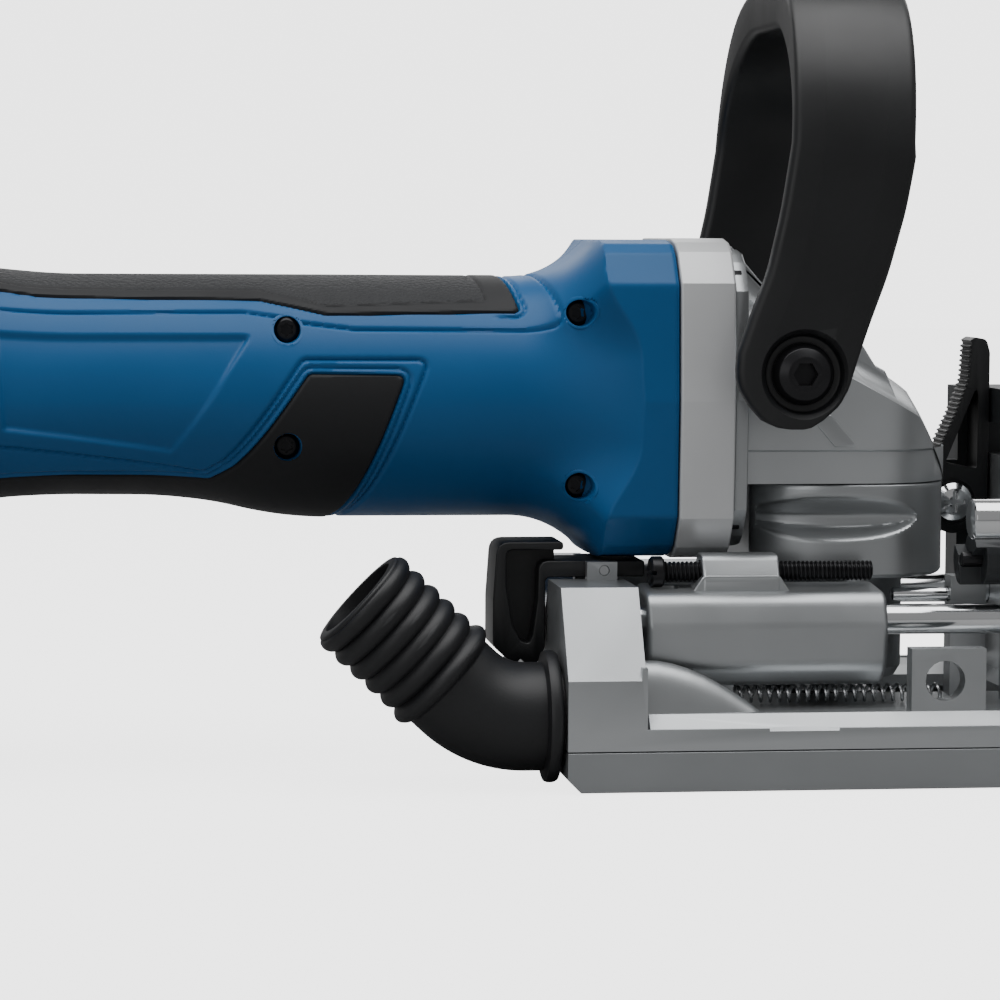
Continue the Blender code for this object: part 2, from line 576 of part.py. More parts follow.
def drive(looks):
    steel, dark = looks["steel"], looks["black_steel"]
    turned("spindle", (0.0, 0.0), [(4.6, 3.9), (12.4, 3.9), (12.41, 5.5), (60.0, 5.5), (60.01, 4.0),
                                   (92.8, 4.0)], "Z", steel, 20)
    bevel_pair(steel)
    cut(bpy.data.objects["bevel_gear"], rod("bore", (0.0, 0.0), 4.3, "Z", 60.0, 90.0, steel, 20))
    teeth = []
    count = 24
    for i in range(count * 2):
        radius = BLADE_RADIUS if i % 2 else BLADE_RADIUS - 3.0
        angle = math.tau * (i + 0.35 * (i % 2)) / (count * 2)
        teeth.append((radius * math.cos(angle), radius * math.sin(angle)))
    blade = prism("blade", teeth, "Z", BLADE_Z - 1.4, BLADE_Z + 1.4, steel)
    cut(blade, rod("bore", (0.0, 0.0), 4.2, "Z", 0.0, 20.0, steel, 20))
    flange = turned("blade_flange", (0.0, 0.0), [(11.8, 12.0), (14.5, 12.0), (16.0, 10.0)], "Z", steel, 24)
    cut(flange, rod("bore", (0.0, 0.0), 5.8, "Z", 0.0, 30.0, steel, 20))
    nut = rod("blade_nut", (0.0, 0.0), 9.5, "Z", 4.4, 8.2, steel, 24)
    cut(nut, rod("bore", (0.0, 0.0), 4.2, "Z", 0.0, 20.0, steel, 20))
    rotor = turned("rotor", (0.0, MOTOR_Z), [(-172.0, 3.5), (-152.0, 3.5), (-151.9, 11.5), (-104.0, 11.5),
                                            (-103.9, 3.9), (-20.5, 3.9)], "X", dark, 24)
    pivot(rotor, -130, 0, MOTOR_Z)
    fan_profile = [(-96.0, 6.0), (-94.9, 21.0), (-93.0, 21.0), (-90.0, 9.0), (-86.0, 7.0)]
    fan = turned("fan", (0.0, MOTOR_Z), fan_profile, "X", looks["black"], 24)
    cut(fan, rod("bore", (0.0, MOTOR_Z), 4.2, "X", -110.0, -80.0, dark, 20))
    pivot(fan, -92, 0, MOTOR_Z)


def bearing(name, centre, radii, axis, low, high, look):
    ring = rod(name, centre, radii[1], axis, low, high, look, 24)
    return cut(ring, rod("bore", centre, radii[0], axis, low - 5, high + 5, look, 20))


def motor_inside(looks):
    centre = (0.0, MOTOR_Z)
    steel = looks["steel"]
    stator = rod("stator", centre, 20.6, "X", -150.0, -106.0, looks["black_steel"], 28)
    cut(stator, rod("bore", centre, 12.0, "X", -160.0, -90.0, steel, 24))
    bearing("bearing_front", centre, (4.2, 10.9), "X", -43.7, -37.3, steel)
    bearing("bearing_rear", centre, (3.8, 9.5), "X", -171.0, -164.0, steel)
    bearing("spindle_bearing_upper", (0.0, 0.0), (4.3, 8.1), "Z", 87.9, 93.2, steel)
    bearing("spindle_bearing_lower", (0.0, 0.0), (5.8, 13.0), "Z", 24.3, 33.0, steel)
    block("control_board", (-204.0, -17.0, 70.0), (-202.0, 17.0, 103.0), looks["board"])


# ---------------------------------------------------------------- handle

def bow_handle(look):
    """A bow whose two arms hang on the gear head, leaning forward towards the top."""
    straight = [(80.4, -20.4, 2.0), (81.2, -20.4, 6.0), (83.2, -20.4, 9.2), (86.2, -20.5, 11.8),
                (93.0, -20.7, 13.3), (100.5, -19.3, 13.9), (110.0, -16.4, 13.7), (120.0, -12.8, 13.8),
                (131.0, -9.6, 14.1), (142.0, -7.7, 13.9)]
    thick = 2.9
    arm_y, top_z, bend = 47.0, 178.0, 36.0
    rings = []

    def section(x, half_width, y, z, tilt, half_thick):
        """A flat rounded strip; tilt 0 is upright on the right side, 180 upright on the left."""
        normal = Vector((0.0, -math.cos(tilt), math.sin(tilt)))
        corner = min(half_thick, half_width) * 0.45
        outline = [(half_width, half_thick - corner), (half_width - corner, half_thick),
                   (corner - half_width, half_thick), (-half_width, half_thick - corner),
                   (-half_width, corner - half_thick), (corner - half_width, -half_thick),
                   (half_width - corner, -half_thick), (half_width, corner - half_thick)]
        return [Vector((x + a, y, z)) + normal * b for a, b in outline]

    for z, x, half_width in straight:
        rings.append(section(x, half_width, -arm_y, z, 0.0, thick))
    steps = 7
    for i in range(1, steps + 1):
        tilt = math.pi / 2 * i / steps
        y = -arm_y + bend * (1 - math.cos(tilt))
        z = top_z - bend + bend * math.sin(tilt)
        half_thick = thick + 3.6 * min(1.0, i / 4)
        rings.append(section(-7.7 + 3.4 * i / steps, 13.9, y, z, tilt, half_thick))
    other = []
    for ring in reversed(rings):
        flipped = [Vector((p.x, -p.y, p.z)) for p in ring]
        other.append(flipped)
    handle = loft("bow_handle", rings + other, look)
    for sign in (-1, 1):
        low, high = sorted((sign * 40.0, sign * 55.0))
        recess_low, recess_high = sorted((sign * 48.0, sign * 55.0))
        cut(
            handle,
            rod("hole", HANDLE_SCREW, 4.2, "Y", low, high, look, 16),
            rod("recess", HANDLE_SCREW, 7.6, "Y", recess_low, recess_high, look, 24),
        )
    return handle


def handle_screws(look):
    for side, sign in (("right", -1), ("left", 1)):
        profile = [(sign * 30.0, 3.9), (sign * 48.25, 3.9), (sign * 48.26, 6.9), (sign * 50.2, 6.9),
                   (sign * 51.8, 5.0)]
        screw = turned(f"handle_screw_{side}", HANDLE_SCREW, profile, "Y", look, 20)
        low, high = sorted((sign * 49.4, sign * 56.0))
        cut(screw, rod("socket", HANDLE_SCREW, 2.9, "Y", low, high, look, 6))


# ---------------------------------------------------------------- controls and battery

def depth_screw(looks):
    y = -ROD_Y
    screw = turned("depth_screw", (y, STOP_Z), [(-51.0, 3.6), (-47.8, 3.6), (-47.79, 2.4), (0.8, 2.4)], "X",
                   looks["black_steel"], 16)
    pivot(screw, 0, y, STOP_Z)
    nut = rod("lock_nut", (y, STOP_Z), 4.1, "X", -43.6, -39.6, looks["black_steel"], 6)
    cut(nut, rod("bore", (y, STOP_Z), 2.7, "X", -60.0, 0.0, looks["black_steel"], 16))


def controls(looks):
    slider = block("switch_slider", (-100.0, 28.6, 81.0), (-86.0, 31.4, 91.5), looks["black"])
    join(slider, block("stem", (-100.0, 22.0, 84.2), (-90.0, 29.0, 88.4), looks["black"]))
    for x in (-97.0, -93.0, -89.0):
        join(slider, block("grip_rib", (x - 0.7, 31.0, 82.0), (x + 0.7, 32.4, 90.5), looks["black"]))
    pivot(slider, -93, 28, MOTOR_Z)
    profile = [(20.8, 2.0), (27.0, 2.0), (27.01, 4.0), (34.0, 4.0), (34.6, 3.4)]
    button = turned("spindle_lock_button", (6.0, 74.5), profile, "Y", looks["black"], 20)
    pivot(button, 6, 34, 74.5)


def battery(looks):
    front, rear = HOUSING_REAR_X - GAP, -300.0
    outline = ring_outline((front - rear) / 2, 38.0, ((front + rear) / 2, 0.0), 7.0, 24)
    rings = [[along("Z", x * scale + (1 - scale) * (front + rear) / 2, y * scale, z) for x, y in outline]
             for z, scale in ((28.0, 0.93), (31.0, 1.0), (140.0, 1.0), (144.0, 0.93))]
    pack = loft("battery_pack", rings, looks["black"])
    cut(pack, block("slot", (-247.0, -16.0, 60.0), (-230.0, 16.0, 150.0), looks["black"]))
    cut(pack, block("button_pocket", (-304.0, -14.3, 111.7), (-295.0, 14.3, 124.3), looks["black"]))
    pivot(pack, front, 0, MOTOR_Z)
    button = block("battery_button", (-301.0, -14.0, 112.0), (-297.6, 14.0, 124.0), looks["grey"])
    pivot(button, -301, 0, 118)
    block("terminal_block", (-244.0, -14.0, 62.0), (-231.0, 14.0, 110.0), looks["grey"])


def main():
    for old in list(bpy.data.objects):
        bpy.data.objects.remove(old)
    looks = {
        "blue": material("blue_plastic", (0.03, 0.13, 0.30), 0.42),
        "rubber": material("black_rubber", (0.025, 0.026, 0.028), 0.75),
        "black": material("black_plastic", (0.03, 0.03, 0.033), 0.5),
        "grey": material("grey_plastic", (0.25, 0.26, 0.27), 0.5),
        "flange": material("flange_paint", (0.62, 0.63, 0.64), 0.4, 0.3),
        "cast": material("cast_aluminium", (0.5, 0.51, 0.52), 0.4, 0.9),
        "dark_cast": material("dark_casting", (0.06, 0.065, 0.07), 0.45, 0.4),
        "chrome": material("chrome", (0.8, 0.8, 0.8), 0.1, 1.0),
        "steel": material("bright_steel", (0.6, 0.6, 0.6), 0.3, 1.0),
        "black_steel": material("black_steel", (0.04, 0.04, 0.045), 0.4, 0.8),
        "board": material("circuit_board", (0.02, 0.12, 0.05), 0.5),
    }
    base_casting(looks["cast"])
    bottom_cover(looks["cast"])
    base_fittings(looks)
    depth_turret(looks["dark_cast"])
    return_spring("return_spring_right", -ROD_Y, looks["steel"])
    return_spring("return_spring_left", ROD_Y, looks["steel"])
    rear_lock_lever(looks["black"])
    dust_elbow(looks["rubber"])
    fence_carrier(looks["dark_cast"])
    fence_plate(looks["cast"])
    clamp_lever(looks["black"])
    fence_fittings(looks)
    housing(looks)
    grips(looks["rubber"])
    gear_flange(looks["flange"])
    gear_casting_upper(looks["cast"])
    gear_casting_lower(looks["cast"])
    slide_sleeve("right", -1, looks["cast"])
    slide_sleeve("left", 1, looks["cast"])
    drive(looks)
    motor_inside(looks)
    bow_handle(looks["black"])
    handle_screws(looks["black_steel"])
    depth_screw(looks)
    controls(looks)
    battery(looks)


main()
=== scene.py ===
"""Looks of the cordless biscuit joiner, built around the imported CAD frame.

Every piece is in the frame's axes: +X towards the fence, +Z up, -Y the tool's right side.
Shapes are worked out in millimetres and become metres in piece().
"""

import math

import bmesh
import bpy
import numpy as np
from mathutils import Matrix, Vector


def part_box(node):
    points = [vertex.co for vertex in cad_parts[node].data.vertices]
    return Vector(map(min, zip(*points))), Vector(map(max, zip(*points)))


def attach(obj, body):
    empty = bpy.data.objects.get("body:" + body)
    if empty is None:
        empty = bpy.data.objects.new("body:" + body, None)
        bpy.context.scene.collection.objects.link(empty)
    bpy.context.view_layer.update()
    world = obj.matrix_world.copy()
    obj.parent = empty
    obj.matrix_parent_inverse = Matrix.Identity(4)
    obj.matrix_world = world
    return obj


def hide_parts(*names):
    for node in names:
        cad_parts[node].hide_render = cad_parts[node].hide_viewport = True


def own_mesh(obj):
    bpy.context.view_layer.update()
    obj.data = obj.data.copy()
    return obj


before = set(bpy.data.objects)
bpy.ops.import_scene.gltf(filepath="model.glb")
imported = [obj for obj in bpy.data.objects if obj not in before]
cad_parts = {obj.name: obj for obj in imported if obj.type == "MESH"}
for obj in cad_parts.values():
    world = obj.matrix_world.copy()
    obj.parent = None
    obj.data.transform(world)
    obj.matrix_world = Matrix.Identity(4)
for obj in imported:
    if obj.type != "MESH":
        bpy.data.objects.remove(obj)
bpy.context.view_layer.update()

MM = 0.001


def cad(node):
    """Lowest and highest corner of a CAD node in millimetres."""
    low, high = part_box(node)
    return np.array(low) / MM, np.array(high) / MM


def middle(node):
    """Middle of a CAD node in millimetres."""
    low, high = cad(node)
    return (low + high) / 2


MOTOR_Z = middle("gear_flange")[2]
HEAD_HALF = (cad("gear_flange")[1] - cad("gear_flange")[0])[2] / 2
FLANGE_REAR, FLANGE_FRONT = cad("gear_flange")[0][0], cad("gear_flange")[1][0]
HOUSING_REAR, COLLAR_FRONT = cad("housing_right")[0][0], cad("housing_right")[1][0]
GRIP_RADIUS = 28.1
SEAM_Z = cad("gear_casting_lower")[1][2]
ROD_Y, ROD_Z = abs(middle("guide_rod_right")[1]), middle("guide_rod_right")[2]
STOP_Z = middle("depth_screw")[2]
HANDLE_X, _, HANDLE_Z = middle("handle_screw_right")


# ---------------------------------------------------------------- materials

def look(name, colour, rough, metallic=0.0, grain=2500.0, height=0.02, strength=0.3, tint=0.08,
         spread=0.06, stretch=(1.0, 1.0, 1.0), wear=0.0, coat=0.0, cells=False, specular=0.5):
    """A finish with a fine grain in its bump, and slow changes of tint and roughness."""
    made = bpy.data.materials.new(name)
    made.use_nodes = True
    nodes, links = made.node_tree.nodes, made.node_tree.links
    shader = nodes["Principled BSDF"]
    shader.inputs["Metallic"].default_value = metallic
    shader.inputs["Coat Weight"].default_value = coat
    shader.inputs["Specular IOR Level"].default_value = specular
    shader.inputs["Coat Roughness"].default_value = 0.25
    coords = nodes.new("ShaderNodeTexCoord")
    mapping = nodes.new("ShaderNodeMapping")
    mapping.inputs["Scale"].default_value = stretch
    links.new(coords.outputs["Object"], mapping.inputs["Vector"])
    fine = nodes.new("ShaderNodeTexVoronoi" if cells else "ShaderNodeTexNoise")
    fine.inputs["Scale"].default_value = grain
    links.new(mapping.outputs["Vector"], fine.inputs["Vector"])
    bump = nodes.new("ShaderNodeBump")
    bump.inputs["Strength"].default_value = strength
    bump.inputs["Distance"].default_value = height * MM
    links.new(fine.outputs[0], bump.inputs["Height"])
    links.new(bump.outputs["Normal"], shader.inputs["Normal"])
    slow = nodes.new("ShaderNodeTexNoise")
    slow.inputs["Scale"].default_value = 45.0
    slow.inputs["Detail"].default_value = 5.0
    links.new(mapping.outputs["Vector"], slow.inputs["Vector"])
    rougher = nodes.new("ShaderNodeMapRange")
    rougher.inputs["From Min"].default_value = 0.3
    rougher.inputs["From Max"].default_value = 0.7
    rougher.inputs["To Min"].default_value = rough - spread
    rougher.inputs["To Max"].default_value = rough + spread
    links.new(slow.outputs[0], rougher.inputs["Value"])
    links.new(rougher.outputs[0], shader.inputs["Roughness"])
    shade = nodes.new("ShaderNodeMix")
    shade.data_type = "RGBA"
    shade.inputs[6].default_value = (*[c * (1 - tint) for c in colour], 1.0)
    shade.inputs[7].default_value = (*[min(1.0, c * (1 + tint)) for c in colour], 1.0)
    links.new(slow.outputs[0], shade.inputs[0])
    top = shade.outputs[2]
    if wear:
        geometry = nodes.new("ShaderNodeNewGeometry")
        edges = nodes.new("ShaderNodeMapRange")
        edges.inputs["From Min"].default_value = 0.53
        edges.inputs["From Max"].default_value = 0.62
        edges.inputs["To Max"].default_value = wear
        links.new(geometry.outputs["Pointiness"], edges.inputs["Value"])
        worn = nodes.new("ShaderNodeMix")
        worn.data_type = "RGBA"
        worn.inputs[7].default_value = (*[min(1.0, c * 1.5 + 0.03) for c in colour], 1.0)
        links.new(edges.outputs[0], worn.inputs[0])
        links.new(top, worn.inputs[6])
        top = worn.outputs[2]
    links.new(top, shader.inputs["Base Color"])
    return made


LOOKS = {
    "blue": look("blue_grain", (0.002, 0.085, 0.240), 0.42, grain=2200, height=0.03, strength=0.35, tint=0.06,
                 specular=0.28),
    "rubber": look("rubber_smooth", (0.012, 0.0125, 0.014), 0.62, grain=3500, height=0.03, strength=0.4,
                   wear=0.3, specular=0.3),
    "pimples": look("rubber_textured", (0.020, 0.021, 0.023), 0.66, grain=1050, height=0.35, strength=0.8,
                    cells=True, specular=0.3),
    "black": look("black_grain", (0.006, 0.0065, 0.0075), 0.42, grain=3000, height=0.02, strength=0.3,
                  wear=0.25),
    "elbow": look("elbow_rubber", (0.007, 0.0075, 0.009), 0.50, grain=1800, height=0.05, strength=0.3,
                  wear=0.6),
    "grey": look("grey_plastic", (0.20, 0.21, 0.22), 0.45, grain=3000, height=0.02),
    "flange": look("flange_paint", (0.60, 0.61, 0.62), 0.38, 0.35, grain=1600, height=0.02, strength=0.25),
    "cast": look("blasted_casting", (0.40, 0.415, 0.425), 0.36, 0.85, grain=2600, height=0.03, strength=0.35,
                 wear=0.5),
    "cover": look("milled_cover", (0.35, 0.365, 0.375), 0.40, 0.85, grain=2000, height=0.02, strength=0.3),
    "dark_cast": look("dark_casting", (0.030, 0.033, 0.036), 0.40, 0.3, grain=2200, height=0.03, wear=0.3),
    "chrome": look("chrome", (0.75, 0.76, 0.77), 0.10, 1.0, grain=900, height=0.002, strength=0.1, tint=0.03,
                   spread=0.04, stretch=(0.05, 1.0, 1.0)),
    "steel": look("ground_steel", (0.52, 0.53, 0.54), 0.28, 1.0, grain=3000, height=0.006, strength=0.3,
                  stretch=(0.1, 1.0, 1.0)),
    "black_steel": look("black_oxide", (0.018, 0.018, 0.02), 0.32, 0.6, grain=3500, height=0.01, wear=0.4),
    "board": look("circuit_board", (0.02, 0.12, 0.05), 0.45, grain=400, height=0.05, tint=0.3),
    "copper": look("copper_winding", (0.45, 0.16, 0.07), 0.3, 1.0, grain=1500, height=0.05,
                   stretch=(1.0, 0.1, 0.1)),
}


# ---------------------------------------------------------------- shapes

def along(axis, a, b, t):
    """Points with t along the named axis and (a, b) across it, in X, Y, Z order."""
    a, b, t = np.broadcast_arrays(a, b, t)
    return np.stack({"X": (t, a, b), "Y": (a, t, b), "Z": (a, b, t)}[axis], axis=-1).astype(float)


def skin(rings, caps=True):
    """Vertices and faces of a body made of rings with the same number of points."""
    rings = np.asarray(rings, float)
    rows, count = rings.shape[:2]
    index = np.arange(rows * count).reshape(rows, count)
    turn = np.roll(index, -1, axis=1)
    faces = np.stack((index[:-1], turn[:-1], turn[1:], index[1:]), axis=-1).reshape(-1, 4).tolist()
    if caps:
        faces += [index[0][::-1].tolist(), index[-1].tolist()]
    return rings.reshape(-1, 3), faces


def rounded(outline, radius=1.0, steps=4, closed=True):
    """An outline with its corners rounded. A point may carry its own radius as a third number."""
    made = []
    count = len(outline)
    for i, point in enumerate(outline):
        here = np.array(point[:2], float)
        if not closed and i in (0, count - 1):
            made.append(here)
            continue
        back = np.array(outline[i - 1][:2], float) - here
        ahead = np.array(outline[(i + 1) % count][:2], float) - here
        near, far = np.linalg.norm(back), np.linalg.norm(ahead)
        back, ahead = back / near, ahead / far
        half = math.acos(float(np.clip(back @ ahead, -1, 1))) / 2
        size = point[2] if len(point) > 2 else radius
        reach = min(size / max(math.tan(half), 0.05), 0.48 * near, 0.48 * far)
        if reach < 1e-4:
            made.append(here)
            continue
        for k in range(steps + 1):
            t = k / steps
            bend = ((1 - t) ** 2 * (here + back * reach) + 2 * t * (1 - t) * here
                    + t * t * (here + ahead * reach))
            made.append(bend)
    return np.array(made)


def inset(outline, distance):
    """The outline moved inwards."""
    area = np.sum(outline[:, 0] * np.roll(outline[:, 1], -1) - outline[:, 1] * np.roll(outline[:, 0], -1))
    step = np.roll(outline, -1, axis=0) - np.roll(outline, 1, axis=0)
    step /= np.linalg.norm(step, axis=1)[:, None] + 1e-9
    inward = np.stack((-step[:, 1], step[:, 0]), axis=1) * np.sign(area)
    return outline + inward * distance


def slab(outline, axis, low, high, edge=0.5, steps=3):
    """An outline extruded from low to high, with rounded rims."""
    outline = np.asarray(outline, float)
    rims = []
    for k in range(steps + 1):
        angle = math.pi / 2 * k / steps
        rims.append((edge * (1 - math.sin(angle)), edge * (1 - math.cos(angle))))
    rings = [(low + rise, pull) for pull, rise in rims] + [(high - rise, pull) for pull, rise in rims[::-1]]
    return skin([along(axis, *inset(outline, pull).T, place) for place, pull in rings])


def box(low, high, edge=0.5, corner=0.5):
    """A block with rounded edges."""
    corners = [(low[0], low[1]), (high[0], low[1]), (high[0], high[1]), (low[0], high[1])]
    return slab(rounded(corners, max(corner, 1.3 * edge), 3), "Z", low[2], high[2], edge)


def circle(centre, radius, count=48):
    """A round outline, as corners."""
    angle = np.arange(count) * math.tau / count
    return np.stack((centre[0] + radius * np.cos(angle), centre[1] + radius * np.sin(angle)), axis=1)


def turned(profile, axis, centre, count=48, soft=0.25):
    """A lathe shape: (place, radius) points along an axis, with softened corners."""
    line = rounded(profile, soft, 3, closed=False)
    return skin([along(axis, *circle(centre, max(radius, 0.02), count).T, place) for place, radius in line])


def superellipse(half_a, half_b, power, count=64, centre=(0.0, 0.0)):
    """A squarish oval outline; a higher power makes it squarer."""
    angle = (np.arange(count) + 0.5) * math.tau / count
    c, s = np.cos(angle), np.sin(angle)
    a = half_a * np.sign(c) * np.abs(c) ** (2 / power) + centre[0]
    b = half_b * np.sign(s) * np.abs(s) ** (2 / power) + centre[1]
    return np.stack((a, b), axis=1)


def thread(x_low, x_high, centre, radius, pitch, depth, count=20):
    """A screw thread along X."""
    per_turn = 6
    rows = int((x_high - x_low) / pitch * per_turn) + 1
    x = np.linspace(x_low, x_high, rows)[:, None]
    angle = (np.arange(count) * math.tau / count)[None, :]
    phase = (x / pitch - angle / math.tau) % 1.0
    reach = radius - depth * np.abs(2 * phase - 1) ** 1.2
    reach = reach * np.clip(np.minimum(x - x_low, x_high - x) / 0.5 + 0.75, 0, 1)
    return skin(along("X", centre[0] + reach * np.cos(angle), centre[1] + reach * np.sin(angle), x))


def coil(start, end, centre, radius, wire, turns):
    """A helical spring along X with flattened end turns."""
    steps, around = turns * 20, 8
    t = np.arange(steps + 1) / steps
    angle = t * turns * math.tau
    x = start + (end - start) * t
    rings = []
    for place, turn in zip(x, angle):
        out = np.array((0.0, math.cos(turn), math.sin(turn)))
        point = np.array((place, *centre)) + out * radius
        ring = [point + wire * (out * math.cos(k) + np.array((1.0, 0, 0)) * math.sin(k))
                for k in np.arange(around) * math.tau / around]
        rings.append(ring)
    return skin(rings)


# ---------------------------------------------------------------- objects

def mesh_object(name, shapes, solid=True):
    """One mesh object, in metres, from (vertices, faces) shapes in millimetres."""
    verts, faces = [], []
    for points, polygons in shapes:
        start = len(verts)
        verts.extend((np.asarray(points) * MM).tolist())
        faces.extend([[i + start for i in polygon] for polygon in polygons])
    mesh = bpy.data.meshes.new(name)
    mesh.from_pydata(verts, [], faces)
    if solid:
        work = bmesh.new()
        work.from_mesh(mesh)
        bmesh.ops.recalc_face_normals(work, faces=work.faces)
        work.to_mesh(mesh)
        work.free()
    made = bpy.data.objects.new(name, mesh)
    bpy.context.scene.collection.objects.link(made)
    return made


def corners_of(mesh):
    """Lowest and highest corner of a mesh."""
    points = np.empty(len(mesh.vertices) * 3)
    mesh.vertices.foreach_get("co", points)
    points = points.reshape(-1, 3)
    return points.min(axis=0), points.max(axis=0)


def is_sound(mesh, old, operation):
    """True when a union still spans the old shape, and a cut has left most of it."""
    if not mesh.polygons:
        return False
    low, high = corners_of(mesh)
    old_low, old_high = corners_of(old)
    if operation == "UNION":
        return bool(np.all(low < old_low + 0.1 * MM) and np.all(high > old_high - 0.1 * MM))
    return bool(np.all(high - low > 0.5 * (old_high - old_low)))


def combine(target, shape, operation):
    """Join a shape to the target or cut it out, with the first setting that gives a sound result."""
    tool = mesh_object("tool", [shape])
    for solver, careful in (("EXACT", False), ("EXACT", True), ("MANIFOLD", False)):
        change = target.modifiers.new("combine", "BOOLEAN")
        change.operation = operation
        change.solver = solver
        if solver == "EXACT":
            change.use_self = careful
        change.object = tool
        mesh = bpy.data.meshes.new_from_object(target.evaluated_get(bpy.context.evaluated_depsgraph_get()))
        target.modifiers.clear()
        if is_sound(mesh, target.data, operation):
            break
    else:
        raise RuntimeError(f"{operation} fails on {target.name}")
    target.data = mesh
    bpy.data.objects.remove(tool)


def soften(made, width, angle=35, segments=2):
    """Round the sharp edges of a finished shape."""
    bevel = made.modifiers.new("round_edges", "BEVEL")
    bevel.width = width * MM
    bevel.segments = segments
    bevel.limit_method = "ANGLE"
    bevel.angle_limit = math.radians(angle)
    bevel.harden_normals = True


def piece(name, shapes, finish, body, nodes=(), joined=(), cuts=(), bevel=0.0, sharp=38, solid=True,
          trims=()):
    """A visible piece that rides on a body and stands for CAD nodes."""
    made = mesh_object(name, shapes, solid)
    for shape in trims:
        combine(made, shape, "DIFFERENCE")
    for shape in joined:
        combine(made, shape, "UNION")
    for shape in cuts:
        combine(made, shape, "DIFFERENCE")
    made.data.shade_smooth()
    made.data.set_sharp_from_angle(angle=math.radians(sharp))
    made.data.materials.clear()
    made.data.materials.append(LOOKS[finish])
    if bevel:
        soften(made, bevel)
    if nodes:
        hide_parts(*nodes)
    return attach(made, body)


def dress(node, finish, bevel=0.3):
    """Give a CAD node its material and rounded edges."""
    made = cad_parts[node]
    made.data.materials.clear()
    made.data.materials.append(LOOKS[finish])
    if bevel:
        weld = made.modifiers.new("weld", "WELD")
        weld.merge_threshold = 0.00002
        soften(made, bevel)


# ---------------------------------------------------------------- motor housing

def smooth_line(x, places, values, width=5.0):
    """Values read along x from a polyline whose corners are averaged away."""
    offsets = np.linspace(-width, width, 9)
    return np.mean([np.interp(x + shift, places, values) for shift in offsets], axis=0)


SECTION_X = (-238, -226, -219, -212, -199, -185, -162, -149, -138, -127.5, -80, -44)
SECTION_SIDE = (37, 36, 31.5, 28.9, 28.3, 28.1, 28.1, 28.1, 28.1, 28.1, 28.1, 28.1)
SECTION_UP = (52, 46, 35, 31, 29.3, 28.1, 28.1, 28.1, 28.1, 28.1, 28.0, 28.0)
SECTION_DOWN = (52, 46, 33, 26, 23.6, 22.9, 23.1, 24.5, 27.2, 28.5, 28.5, 28.5)
SECTION_POWER = (5, 4.5, 3, 2.2, 2, 2, 2, 2, 2, 2, 2, 2)
FLARE_START = -80.0

# Head outline in the first quarter: distance to the side, then up
HEAD_QUARTER = ((1.0, 0.0), (0.962, 0.725), (0.81, 0.915), (0.705, 0.975), (0.54, 1.0))


def head_outline(half, centre_z=0.0):
    """The flange's outline: nearly flat sides that meet in a ridge, and stepped corners."""
    quarter = [(y * half, z * half) for y, z in HEAD_QUARTER]
    upper = quarter + [(-y, z) for y, z in quarter[::-1]]
    lower = [(y, -z) for y, z in upper[::-1] if z > 0]
    return [(y, z + centre_z) for y, z in upper + lower]


def head_radius(angle, half):
    """Distance from the axis to the head outline in a direction."""
    outline = np.array(head_outline(half))
    reach = np.full(np.shape(angle), 1e9)
    for first, second in zip(outline, np.roll(outline, -1, axis=0)):
        step = second - first
        normal = np.array((step[1], -step[0])) / np.linalg.norm(step)
        along_normal = np.cos(angle) * normal[0] + np.sin(angle) * normal[1]
        far = (first @ normal) / np.where(along_normal > 1e-3, along_normal, 1e-9)
        reach = np.where(along_normal > 1e-3, np.minimum(reach, far), reach)
    return reach


def smoothstep(low, high, value):
    """Rises smoothly from 0 to 1 between two values."""
    t = np.clip((value - low) / (high - low), 0, 1)
    return t * t * (3 - 2 * t)


def housing_point(x, angle, raise_by):
    """A point of the housing's surface. Angle 0 is the right side, a quarter turn the top."""
    up = np.sin(angle) > 0
    side = smooth_line(x, SECTION_X, SECTION_SIDE)
    half = np.where(up, smooth_line(x, SECTION_X, SECTION_UP), smooth_line(x, SECTION_X, SECTION_DOWN))
    power = smooth_line(x, SECTION_X, SECTION_POWER)
    c, s = np.cos(angle), np.sin(angle)
    across = side * np.sign(c) * np.abs(c) ** (2 / power)
    rise = half * np.sign(s) * np.abs(s) ** (2 / power)
    radius = np.hypot(across, rise)
    direction = np.arctan2(rise, across)
    reach = 19.0 + 9.5 * smoothstep(0.78, 0.97, np.abs(c))
    share = np.clip((x - FLARE_START) / reach, 0, 3) ** 2.2
    square = 37.3 / (np.abs(c) ** 4 + np.abs(s) ** 4) ** 0.25
    flared = np.minimum(radius + (square - radius) * share, head_radius(direction, HEAD_HALF - 0.4))
    radius = np.where(x > FLARE_START, flared, radius) + raise_by
    return along("X", -radius * np.cos(direction), MOTOR_Z + radius * np.sin(direction), x)


def unroll(points):
    """Points of a side view (X, Z) laid out on the grip's unrolled surface."""
    laid = []
    for x, z in points:
        half = smooth_line(x, SECTION_X, SECTION_UP if z > MOTOR_Z else SECTION_DOWN)
        laid.append((x, GRIP_RADIUS * math.asin(max(-1.0, min(1.0, (z - MOTOR_Z) / half)))))
    return laid


TOP_LINE = GRIP_RADIUS * math.pi / 2
FAR_UP, FAR_DOWN = TOP_LINE + 15, -TOP_LINE - 15
GRIP_END = HOUSING_REAR + 26.5

